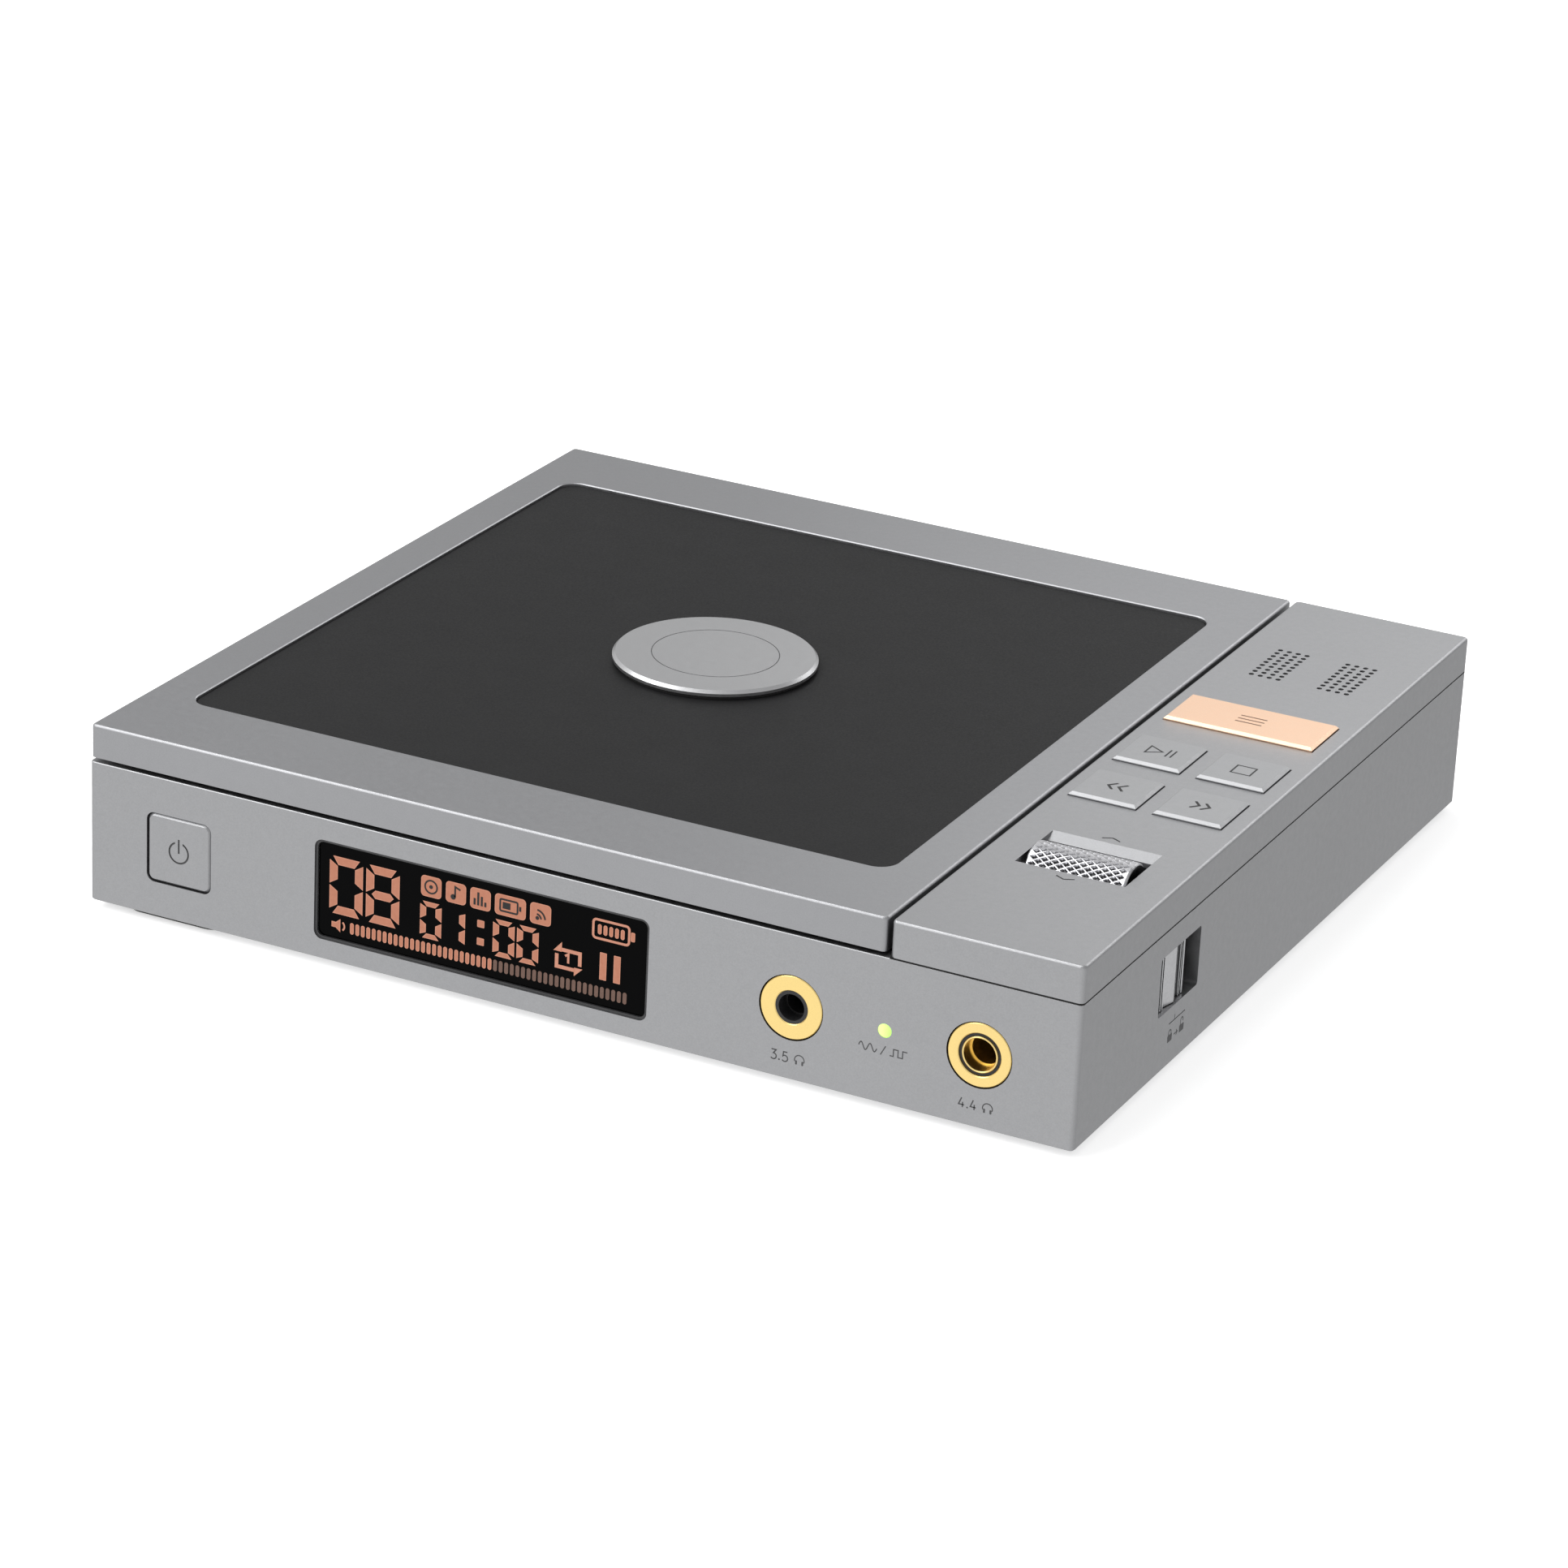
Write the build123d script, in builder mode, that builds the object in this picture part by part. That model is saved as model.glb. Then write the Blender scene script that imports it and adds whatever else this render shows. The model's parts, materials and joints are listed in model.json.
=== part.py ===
"""Portable disc player with a hinged lid, headphone sockets and a control block.

The frame is in millimetres. +Z is up, +X is to the right and the display faces -Y. The origin is
the centre of the footprint, on the surface that the feet stand on.
"""

from build123d import *
import os

os.makedirs("parts", exist_ok=True)

# ---------------------------------------------------------------- case, driving sizes
WIDTH = 158.0
DEPTH = 146.0
FOOT_HEIGHT = 1.2
SEAM_Z = 23.1  # top of the lower case, where lid and control block begin
TOP_Z = 28.8  # top face of lid and control block
WALL = 2.4
CORNER_R = 0.8
TOP_EDGE_R = 0.45  # rounding of the top edges of lid and control block
FLOOR_BEVEL = 0.25
RIM_BEVEL = 0.1
RIGHT_X = WIDTH / 2
FRONT_Y = DEPTH / 2  # offset of the front plane along -Y, and of the rear plane along +Y
INNER_X = RIGHT_X - WALL
INNER_Y = FRONT_Y - WALL
PLATE_TOP_Z = FOOT_HEIGHT + 1.6
FIT = 0.05  # radial room of a running fit

# ---------------------------------------------------------------- lid
LID_RIGHT_X = 49.4
LID_GAP = 0.6
LID_SETBACK = 0.3
LID_BOTTOM_Z = SEAM_Z + LID_GAP
LID_HEIGHT = TOP_Z - LID_BOTTOM_Z
LID_WIDTH = LID_RIGHT_X + RIGHT_X
LID_DEPTH = DEPTH - 2 * LID_SETBACK
LID_X = (LID_RIGHT_X - RIGHT_X) / 2  # centre of the lid, of the window and of the disc
WINDOW_WIDTH = 114.2
WINDOW_DEPTH = 115.4
WINDOW_R = 3.0
WINDOW_THICK = 1.6
WINDOW_SINK = 0.45
WINDOW_TOP_Z = TOP_Z - WINDOW_SINK
LINER_WIDTH = 120.6
LINER_DEPTH = 131.6
LINER_THICK = 1.2
EMBLEM_R = 15.6
EMBLEM_TOP_Z = TOP_Z + 1.0
EMBLEM_THICK = 0.9

# ---------------------------------------------------------------- lid hinge, axis along X
HINGE_R = 1.5  # outer radius of the lid's rear lower edge, about the hinge axis
HINGE_Y = LID_DEPTH / 2 - HINGE_R
HINGE_Z = LID_BOTTOM_Z + HINGE_R
HINGE_XS = (-60.0, 30.0)
NOTCH_WIDTH = 8.4
EAR_WIDTH = 7.8
EAR_R = 1.4
PIN_R = 0.75
PIN_LENGTH = 16.0
BRACKET_FOOT_Z = 20.6
BRACKET_FRONT_Y = 65.8
BRACKET_SCREW_Y = 67.6

# ---------------------------------------------------------------- disc well and deck
DISC_X = LID_X
DECK_TOP_Z = SEAM_Z
DECK_THICK = 1.5
DECK_RIGHT_X = 52.0
WELL_R = 61.2
WELL_WALL = 1.2
WELL_FLOOR_Z = 19.4
WELL_FLOOR_THICK = 1.5
HUB_OPENING_R = 17.0
FINGER_R = 9.0
MAGNET_R = 2.0
MAGNET_XS = (-62.0, 32.0)
MAGNET_Y = -68.3

# ---------------------------------------------------------------- control block
BLOCK_LEFT_X = 50.15
SEAM_GAP = 0.2
BLOCK_BOTTOM_Z = SEAM_Z + SEAM_GAP
BLOCK_WALL = 2.0
BLOCK_LEFT_WALL = 1.4
BLOCK_SKIN = 1.6
SKIN_Z = TOP_Z - BLOCK_SKIN
BLOCK_WIDTH = RIGHT_X - BLOCK_LEFT_X
BLOCK_X = (RIGHT_X + BLOCK_LEFT_X) / 2
BLOCK_ROOM = BLOCK_WIDTH - BLOCK_WALL - BLOCK_LEFT_WALL
BLOCK_ROOM_X = BLOCK_LEFT_X + BLOCK_LEFT_WALL + BLOCK_ROOM / 2

# Key caps: name, centre x, centre y, width, depth
KEYS = (
    ("menu_button", 64.15, 20.45, 23.7, 10.7),
    ("play_button", 57.55, 1.7, 10.5, 10.5),
    ("stop_button", 70.75, 1.7, 10.5, 10.5),
    ("previous_button", 57.55, -14.1, 10.5, 10.5),
    ("next_button", 70.75, -14.1, 10.5, 10.5),
)
KEY_SPOTS = [(x, y) for _, x, y, _, _ in KEYS]
KEY_GAP = 0.15
KEY_PROUD = 0.6
KEY_TRAVEL = 0.5
KEY_FLANGE = 0.6
KEY_FLANGE_TOP_Z = SKIN_Z - 0.05
KEY_BEVEL = 0.4
STEM_R = 1.5

# Vent fields: centre x, centre y
VENTS = ((58.5, 45.4), (69.55, 45.5))
VENT_PITCH = 1.46
VENT_HOLE_R = 0.42

# ---------------------------------------------------------------- volume wheel, axis along X
WHEEL_Y = -40.05
WHEEL_Z = 25.75
WHEEL_R = 4.3
WHEEL_LEFT_X = 56.5
WHEEL_RIGHT_X = 71.9
AXLE_R = 1.0
SLOT_LEFT_X = 55.8
SLOT_RIGHT_X = 72.6
SLOT_FRONT_Y = -45.3
SLOT_BACK_Y = -32.35
RAMP_LOW_Y = -34.3
RAMP_DROP = 0.85

# ---------------------------------------------------------------- front panel, centres as (x, z)
POWER = (-63.72, 12.05)
POWER_SIZE = 10.64
POWER_SWITCH_DEPTH = 6.1  # from the front face to the switch behind the button
DISPLAY = (-13.78, 12.05)
DISPLAY_WIDTH = 54.15
DISPLAY_HEIGHT = 15.5
DISPLAY_R = 1.3
DISPLAY_SINK = 0.6
JACK_35 = (35.64, 12.1)
JACK_44 = (64.3, 12.1)
JACK_RING_R = 4.78
JACK_RING_SINK = 0.03
JACK_GAP = 0.17
JACK_35_NOSE_R = 2.49
JACK_35_BORE_R = 1.78
JACK_44_NOSE_R = 3.19
JACK_44_SLEEVE_R = 2.70
JACK_44_BORE_R = 2.23
JACK_LEAD_IN = 0.2  # radial room around a plug where its socket passes through the wall
JACK_LEAD_IN_DEPTH = WALL + 0.15
JACK_RING_BEVEL = 0.12
JACK_SLEEVE_BEVEL = 0.08
JACK_35_SINK = 0.15
JACK_35_LENGTH = 14.0
JACK_35_BORE_DEPTH = 14.5
JACK_35_TOP_Z = 16.6
JACK_44_SINK = 0.4
JACK_44_LENGTH = 19.0
JACK_44_SLEEVE_SINK = 0.1
JACK_44_SLEEVE_LENGTH = 18.0
JACK_44_TOP_Z = 17.0
LED = (50.0, 12.2)
LED_R = 1.05

# ---------------------------------------------------------------- hold switch, on the right side
HOLD_FRONT_Y = -45.6
HOLD_BACK_Y = -31.6
HOLD_LOW_Z = 10.3
HOLD_HIGH_Z = 19.4
HOLD_KNOB_LENGTH = 9.9
HOLD_TRAVEL = 3.5
HOLD_FACE_X = 78.3

# ---------------------------------------------------------------- boards and battery
BOARD_THICK = 1.6
MAIN_BOARD_Z = 5.4
MAIN_BOARD_TOP_Z = MAIN_BOARD_Z + BOARD_THICK
KEY_BOARD_Z = 19.4
KEY_BOARD_TOP_Z = KEY_BOARD_Z + BOARD_THICK
KEY_BOARD_CENTRE = (63.8, -9.5)
KEY_BOARD_SIZE = (22.0, 77.0)
MAIN_BOARD_CENTRE = (45.2, -1.5)
MAIN_BOARD_SIZE = (60.8, 135.0)
BATTERY_CENTRE = (-62.0, 3.0)
BATTERY_SIZE = (25.0, 104.0)
BATTERY_THICK = 9.6
SWITCH_SIZE = 5.0
SWITCH_HEIGHT = 1.2
PLUNGER_R = 1.3
PLUNGER_HEIGHT = 0.25
STEM_BOTTOM_Z = KEY_BOARD_TOP_Z + SWITCH_HEIGHT + PLUNGER_HEIGHT + KEY_TRAVEL + 0.05
USB_X = 30.0
USB_WIDTH = 8.94
USB_HEIGHT = 3.26

# ---------------------------------------------------------------- disc mechanism
CHASSIS_Z = 13.0
CHASSIS_THICK = 1.2
CHASSIS_TOP_Z = CHASSIS_Z + CHASSIS_THICK
CHASSIS_LEFT_X = -46.0
CHASSIS_RIGHT_X = 11.0
CHASSIS_FRONT_Y = -22.0
CHASSIS_REAR_Y = 68.6
DAMPER_SPOTS = ((-42.3, -18.2), (7.3, -18.2), (-42.3, 62.0), (7.3, 62.0))
ROD_R = 1.0
ROD_Z = 16.2
ROD_XS = (DISC_X - 15.0, DISC_X + 15.0)
ROD_FRONT_Y = 14.0
ROD_REAR_Y = 67.4
SCREW_R = 1.25
SCREW_X = DISC_X - 19.5
SCREW_Z = 13.6
LENS_REST_R = 24.0  # distance of the lens from the disc's axis at rest
SLED_TRAVEL = 34.0
SLED_HALF = 6.5
SLED_TOP_Z = 17.4
SHAFT_R = 1.0
HUB_R = 7.4
PLATTER_R = 15.5
PLATTER_Z = 18.9
PLATTER_TOP_Z = 20.5
MAT_THICK = 0.4
HUB_TOP_Z = 22.6

# Screw posts of the lower case, as (x, y)
CORNER_POSTS = ((-74.0, -60.0), (74.0, -60.0), (-74.0, 60.0), (74.0, 60.0))
MIDDLE_POSTS = ((22.0, -67.6), (48.0, 67.6))
POST_R = 3.2
POST_TOP_Z = 21.4
CASE_SCREW_R = 0.8
CASE_SCREW_HEAD_R = 1.7
CASE_SCREW_LENGTH = 9.0
SMALL_SCREW_R = 0.6
SMALL_SCREW_HEAD_R = 1.25
SMALL_SCREW_HEAD = 0.6
SMALL_SCREW_LENGTH = 3.6
DECK_SCREWS = ((-74.0, -60.0), (-74.0, 60.0), (22.0, -67.6), (48.0, 67.6))
BOARD_SCREWS = ((20.0, -45.0), (20.0, 60.0), (70.0, -20.0), (70.0, 50.0))

# Feet: centre x, centre y
FEET = ((-66.15, -68.1), (66.15, -65.5), (-66.15, 65.5), (66.15, 65.5))
FOOT_LENGTH = 17.1
FOOT_WIDTH = 6.0

GROOVE = 0.16  # width of an engraved line
POWER_STROKE = 0.28
POWER_SIGN_R = 1.6
ARROW_STROKE = 0.34
GROOVE_DEPTH = 0.12


def write(piece, name):
    """Label a finished piece and write it as its own node."""
    piece.part.label = name
    export_step(piece.part, f"parts/{name}.step")


def front_plane(depth=0.0):
    """Plane parallel to the front face, depth behind it. Local x is X, local y is Z, normal is -Y."""
    return Plane.XZ.offset(FRONT_Y - depth)


def side_plane(x):
    """Plane across X at x. Local x is Y, local y is Z, normal is +X."""
    return Plane.YZ.offset(x)


# ================================================================ lower case

with BuildPart() as base_shell:
    with BuildSketch(Plane.XY.offset(FOOT_HEIGHT)):
        RectangleRounded(WIDTH, DEPTH, CORNER_R)
    extrude(amount=SEAM_Z - FOOT_HEIGHT)
    chamfer(base_shell.faces().sort_by(Axis.Z)[0].edges(), FLOOR_BEVEL)
    chamfer(base_shell.faces().sort_by(Axis.Z)[-1].edges(), RIM_BEVEL)
    with BuildSketch(Plane.XY.offset(FOOT_HEIGHT)):
        RectangleRounded(2 * INNER_X, 2 * INNER_Y, CORNER_R)
    extrude(amount=SEAM_Z - FOOT_HEIGHT, mode=Mode.SUBTRACT)
    # Screw posts, and the seats of the hinge brackets
    with BuildSketch(Plane.XY.offset(PLATE_TOP_Z)):
        with Locations(*CORNER_POSTS, *MIDDLE_POSTS):
            Circle(POST_R)
    extrude(amount=POST_TOP_Z - PLATE_TOP_Z)
    with BuildSketch(Plane.XY.offset(BRACKET_FOOT_Z - 5.0)):
        for x in HINGE_XS:
            with Locations((x, (BRACKET_FRONT_Y + INNER_Y) / 2)):
                Rectangle(EAR_WIDTH, INNER_Y - BRACKET_FRONT_Y)
    extrude(amount=5.0)
    with BuildSketch(Plane.XY.offset(PLATE_TOP_Z)):
        with Locations(*CORNER_POSTS, *MIDDLE_POSTS):
            Circle(CASE_SCREW_R)
    extrude(amount=12.0, mode=Mode.SUBTRACT)
    with BuildSketch(Plane.XY.offset(POST_TOP_Z)):
        with Locations(*DECK_SCREWS):
            Circle(SMALL_SCREW_R)
    extrude(amount=-3.0, mode=Mode.SUBTRACT)
    with BuildSketch(Plane.XY.offset(BRACKET_FOOT_Z)):
        for x in HINGE_XS:
            with Locations((x, BRACKET_SCREW_Y)):
                Circle(SMALL_SCREW_R)
    extrude(amount=-3.0, mode=Mode.SUBTRACT)
    # The rear wall is open above each bracket's foot
    with BuildSketch(Plane.XY.offset(BRACKET_FOOT_Z)):
        for x in HINGE_XS:
            with Locations((x, FRONT_Y - WALL / 2)):
                Rectangle(NOTCH_WIDTH, WALL + 0.2)
    extrude(amount=SEAM_Z - BRACKET_FOOT_Z, mode=Mode.SUBTRACT)
    # Front openings
    with BuildSketch(front_plane()):
        with Locations(POWER):
            RectangleRounded(POWER_SIZE + 2 * KEY_GAP, POWER_SIZE + 2 * KEY_GAP, 1.3)
        with Locations(DISPLAY):
            RectangleRounded(DISPLAY_WIDTH, DISPLAY_HEIGHT, DISPLAY_R)
        with Locations(JACK_35, JACK_44):
            Circle(JACK_RING_R + JACK_GAP)
        with Locations(LED):
            Circle(LED_R)
    extrude(amount=-WALL, mode=Mode.SUBTRACT)
    # Hold switch slot
    with BuildSketch(side_plane(INNER_X)):
        with Locations(((HOLD_FRONT_Y + HOLD_BACK_Y) / 2, (HOLD_LOW_Z + HOLD_HIGH_Z) / 2)):
            RectangleRounded(HOLD_BACK_Y - HOLD_FRONT_Y, HOLD_HIGH_Z - HOLD_LOW_Z, 0.5)
    extrude(amount=WALL, mode=Mode.SUBTRACT)
    # Charging port opening in the rear wall
    with BuildSketch(front_plane(DEPTH)):
        with Locations((USB_X, MAIN_BOARD_TOP_Z + USB_HEIGHT / 2)):
            SlotOverall(USB_WIDTH + 0.3, USB_HEIGHT + 0.3)
    extrude(amount=WALL, mode=Mode.SUBTRACT)
    # Engraved travel mark below the hold switch: a line with an upright tick
    with BuildSketch(side_plane(RIGHT_X)):
        with Locations((-38.35, 7.85)):
            Rectangle(5.7, GROOVE)
        with Locations((-39.2, 8.25)):
            Rectangle(GROOVE, 0.8)
    extrude(amount=-GROOVE_DEPTH, mode=Mode.SUBTRACT)
write(base_shell, "base_shell")

with BuildPart() as bottom_plate:
    with BuildSketch(Plane.XY.offset(FOOT_HEIGHT)):
        RectangleRounded(2 * INNER_X, 2 * INNER_Y, CORNER_R)
    extrude(amount=PLATE_TOP_Z - FOOT_HEIGHT)
    # Posts for the mechanism's dampers and for the main board
    with BuildSketch(Plane.XY.offset(PLATE_TOP_Z)):
        with Locations(*DAMPER_SPOTS):
            Circle(3.0)
    extrude(amount=10.5 - PLATE_TOP_Z)
    with BuildSketch(Plane.XY.offset(PLATE_TOP_Z)):
        with Locations(*BOARD_SCREWS):
            Circle(2.5)
    extrude(amount=MAIN_BOARD_Z - PLATE_TOP_Z)
    with BuildSketch(Plane.XY.offset(10.5)):
        with Locations(*DAMPER_SPOTS):
            Circle(SHAFT_R)
    extrude(amount=-4.0, mode=Mode.SUBTRACT)
    with BuildSketch(Plane.XY.offset(MAIN_BOARD_Z)):
        with Locations(*BOARD_SCREWS):
            Circle(SMALL_SCREW_R)
    extrude(amount=-2.2, mode=Mode.SUBTRACT)
    # Countersunk holes for the case screws
    with BuildSketch(Plane.XY.offset(FOOT_HEIGHT)):
        with Locations(*CORNER_POSTS, *MIDDLE_POSTS):
            Circle(CASE_SCREW_R)
    extrude(amount=PLATE_TOP_Z - FOOT_HEIGHT, mode=Mode.SUBTRACT)
    lower_circles = bottom_plate.edges().filter_by(GeomType.CIRCLE).group_by(Axis.Z)[0]
    chamfer([edge for edge in lower_circles if edge.is_closed], 0.9)
write(bottom_plate, "bottom_plate")

with BuildPart() as case_screws:
    with BuildSketch(Plane.XY.offset(PLATE_TOP_Z - 0.7)):
        with Locations(*CORNER_POSTS, *MIDDLE_POSTS):
            Circle(CASE_SCREW_R)
    extrude(amount=CASE_SCREW_LENGTH)
    for x, y in CORNER_POSTS + MIDDLE_POSTS:
        with Locations((x, y, FOOT_HEIGHT + 0.45)):
            Cone(CASE_SCREW_HEAD_R, CASE_SCREW_R, 0.9)
    with BuildSketch(Plane.XY.offset(FOOT_HEIGHT)):
        with Locations(*CORNER_POSTS, *MIDDLE_POSTS):
            RegularPolygon(0.75, 6)
    extrude(amount=0.6, mode=Mode.SUBTRACT)
write(case_screws, "case_screws")

with BuildPart() as rubber_feet:
    with BuildSketch():
        with Locations(*FEET):
            SlotOverall(FOOT_LENGTH, FOOT_WIDTH)
    extrude(amount=FOOT_HEIGHT)
    foot_rims = rubber_feet.edges().group_by(Axis.Z)[0]
    chamfer(foot_rims, 0.25)
write(rubber_feet, "rubber_feet")

# ================================================================ control block

with BuildPart() as control_cover:
    with BuildSketch(Plane.XY.offset(BLOCK_BOTTOM_Z)):
        with Locations((BLOCK_X, 0)):
            RectangleRounded(BLOCK_WIDTH, DEPTH, CORNER_R)
    extrude(amount=TOP_Z - BLOCK_BOTTOM_Z)
    fillet(control_cover.faces().sort_by(Axis.Z)[-1].edges(), TOP_EDGE_R)
    with BuildSketch(Plane.XY.offset(BLOCK_BOTTOM_Z)):
        with Locations((BLOCK_ROOM_X, 0)):
            Rectangle(BLOCK_ROOM, DEPTH - 2 * BLOCK_WALL)
    extrude(amount=SKIN_Z - BLOCK_BOTTOM_Z, mode=Mode.SUBTRACT)
    # Locating lip inside the lower case, on the right, front and rear
    with BuildSketch(Plane.XY.offset(BLOCK_BOTTOM_Z)):
        with Locations((RIGHT_X - BLOCK_WALL - 0.9, 0)):
            Rectangle(1.8, DEPTH - 2 * BLOCK_WALL)
        with Locations((BLOCK_X + 1.0, FRONT_Y - BLOCK_WALL - 0.9)):
            Rectangle(BLOCK_WIDTH - 2 * BLOCK_WALL - 2.0, 1.8)
        with Locations((BLOCK_X + 1.0, -FRONT_Y + BLOCK_WALL + 0.9)):
            Rectangle(BLOCK_WIDTH - 2 * BLOCK_WALL - 2.0, 1.8)
    extrude(amount=1.2)
    with BuildSketch(Plane.XY.offset(POST_TOP_Z + 0.2)):
        with Locations((INNER_X - 0.7, 0)):
            Rectangle(1.2, 2 * INNER_Y - 12.0)
        with Locations((BLOCK_X + 1.0, INNER_Y - 0.7), (BLOCK_X + 1.0, -INNER_Y + 0.7)):
            Rectangle(12.0, 1.2)
    extrude(amount=BLOCK_BOTTOM_Z + 1.0 - POST_TOP_Z - 0.2)
    # Key openings
    with BuildSketch(Plane.XY.offset(SKIN_Z)):
        for _, x, y, width, depth in KEYS:
            with Locations((x, y)):
                Rectangle(width + 2 * KEY_GAP, depth + 2 * KEY_GAP)
    extrude(amount=BLOCK_SKIN, mode=Mode.SUBTRACT)
    # Wheel slot, with a ramp behind the wheel that a thumb rolls down
    with BuildSketch(side_plane(SLOT_LEFT_X)):
        with BuildLine():
            Polyline(
                (SLOT_FRONT_Y, SKIN_Z - 0.1),
                (SLOT_FRONT_Y, TOP_Z + 0.1),
                (SLOT_BACK_Y, TOP_Z + 0.1),
                (SLOT_BACK_Y, TOP_Z),
                (RAMP_LOW_Y, TOP_Z - RAMP_DROP),
                (RAMP_LOW_Y, SKIN_Z - 0.1),
                close=True,
            )
        make_face()
    extrude(amount=SLOT_RIGHT_X - SLOT_LEFT_X, mode=Mode.SUBTRACT)
    # Vent fields
    for x, y in VENTS:
        with BuildSketch(Plane.XY.offset(SKIN_Z)):
            with Locations((x, y)):
                with GridLocations(VENT_PITCH, VENT_PITCH, 4, 9):
                    Circle(VENT_HOLE_R)
        extrude(amount=BLOCK_SKIN, mode=Mode.SUBTRACT)
    # Engraved arrowheads in front of the wheel and behind it
    with BuildSketch(Plane.XY.offset(TOP_Z)):
        for y, point in ((-30.6, 0.7), (-47.0, -0.7)):
            with BuildLine():
                Polyline(
                    (62.8, y - point / 2),
                    (64.2, y + point / 2),
                    (65.6, y - point / 2),
                    (65.6, y - point / 2 - ARROW_STROKE),
                    (64.2, y + point / 2 - ARROW_STROKE),
                    (62.8, y - point / 2 - ARROW_STROKE),
                    close=True,
                )
            make_face()
    extrude(amount=-GROOVE_DEPTH, mode=Mode.SUBTRACT)
write(control_cover, "control_cover")

with BuildPart() as vent_mesh:
    with BuildSketch(Plane.XY.offset(SKIN_Z)):
        with Locations(*VENTS):
            RectangleRounded(6.8, 14.4, 0.8)
    extrude(amount=-0.4)
write(vent_mesh, "vent_mesh")


def key_glyph(name):
    """Draw the engraved sign of a key into the open sketch, about the current location."""
    if name == "play_button":
        Polygon((-2.0, -1.6), (-2.0, 1.6), (0.6, 0), align=None)
        Polygon((-1.84, -1.3), (-1.84, 1.3), (0.3, 0), align=None, mode=Mode.SUBTRACT)
        for bar_x in (1.2, 2.0):
            Polygon((bar_x, -1.4), (bar_x + GROOVE, -1.4), (bar_x + GROOVE, 1.4), (bar_x, 1.4), align=None)
    if name == "stop_button":
        Rectangle(3.2, 3.2)
        Rectangle(3.2 - 2 * GROOVE, 3.2 - 2 * GROOVE, mode=Mode.SUBTRACT)
    if name in ("previous_button", "next_button"):
        way = 1.0 if name == "next_button" else -1.0
        for start in (-1.5, 0.1):
            Polygon(
                (way * start, 1.3),
                (way * (start + 0.4), 1.3),
                (way * (start + 1.4), 0),
                (way * (start + 0.4), -1.3),
                (way * start, -1.3),
                (way * (start + 1.0), 0),
                align=None,
            )
    if name == "menu_button":
        for width, offset in ((4.2, 1.2), (4.2, 0.0), (4.2, -1.2)):
            Polygon(
                (-width / 2, offset - GROOVE),
                (width / 2, offset - GROOVE),
                (width / 2, offset + GROOVE),
                (-width / 2, offset + GROOVE),
                align=None,
            )


for name, x, y, width, depth in KEYS:
    with BuildPart() as key:
        with BuildSketch(Plane.XY.offset(KEY_FLANGE_TOP_Z)):
            with Locations((x, y)):
                Rectangle(width, depth)
        extrude(amount=TOP_Z + KEY_PROUD - KEY_FLANGE_TOP_Z)
        chamfer(key.faces().sort_by(Axis.Z)[-1].edges(), KEY_BEVEL)
        with BuildSketch(Plane.XY.offset(KEY_FLANGE_TOP_Z)):
            with Locations((x, y)):
                Rectangle(width + 2 * KEY_FLANGE, depth + 2 * KEY_FLANGE)
        extrude(amount=-0.9)
        with BuildSketch(Plane.XY.offset(STEM_BOTTOM_Z)):
            with Locations((x, y)):
                Circle(STEM_R)
        extrude(amount=KEY_FLANGE_TOP_Z - STEM_BOTTOM_Z)
        with BuildSketch(Plane.XY.offset(TOP_Z + KEY_PROUD)):
            with Locations((x, y)):
                key_glyph(name)
        extrude(amount=-GROOVE_DEPTH, mode=Mode.SUBTRACT)
    write(key, name)

with BuildPart() as button_board:
    with BuildSketch(Plane.XY.offset(KEY_BOARD_Z)):
        with Locations(KEY_BOARD_CENTRE):
            RectangleRounded(*KEY_BOARD_SIZE, 1.0)
    extrude(amount=BOARD_THICK)
write(button_board, "button_board")

with BuildPart() as tact_switches:
    with BuildSketch(Plane.XY.offset(KEY_BOARD_TOP_Z)):
        with Locations(*KEY_SPOTS):
            RectangleRounded(SWITCH_SIZE, SWITCH_SIZE, 0.4)
    extrude(amount=SWITCH_HEIGHT)
    with BuildSketch(Plane.XY.offset(KEY_BOARD_TOP_Z + SWITCH_HEIGHT)):
        with Locations(*KEY_SPOTS):
            Circle(PLUNGER_R)
    extrude(amount=PLUNGER_HEIGHT)
    # The sixth switch lies behind the power button, on its upright board
    with BuildSketch(front_plane(POWER_SWITCH_DEPTH)):
        with Locations(POWER):
            RectangleRounded(SWITCH_SIZE, SWITCH_SIZE, 0.4)
    extrude(amount=-SWITCH_HEIGHT)
    with BuildSketch(front_plane(POWER_SWITCH_DEPTH)):
        with Locations(POWER):
            Circle(PLUNGER_R)
    extrude(amount=PLUNGER_HEIGHT)
write(tact_switches, "tact_switches")

# ================================================================ volume wheel

with BuildPart() as volume_wheel:
    with BuildSketch(side_plane(WHEEL_LEFT_X)):
        with Locations((WHEEL_Y, WHEEL_Z)):
            Circle(WHEEL_R)
            Circle(AXLE_R, mode=Mode.SUBTRACT)
    extrude(amount=WHEEL_RIGHT_X - WHEEL_LEFT_X)
    rim_edges = volume_wheel.edges().filter_by(GeomType.CIRCLE)
    chamfer([e for e in rim_edges if e.radius > 2 * AXLE_R], 0.3)
write(volume_wheel, "volume_wheel")

with BuildPart() as wheel_axle:
    with BuildSketch(side_plane(53.6)):
        with Locations((WHEEL_Y, WHEEL_Z)):
            Circle(AXLE_R)
    extrude(amount=75.0 - 53.6)
write(wheel_axle, "wheel_axle")

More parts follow.
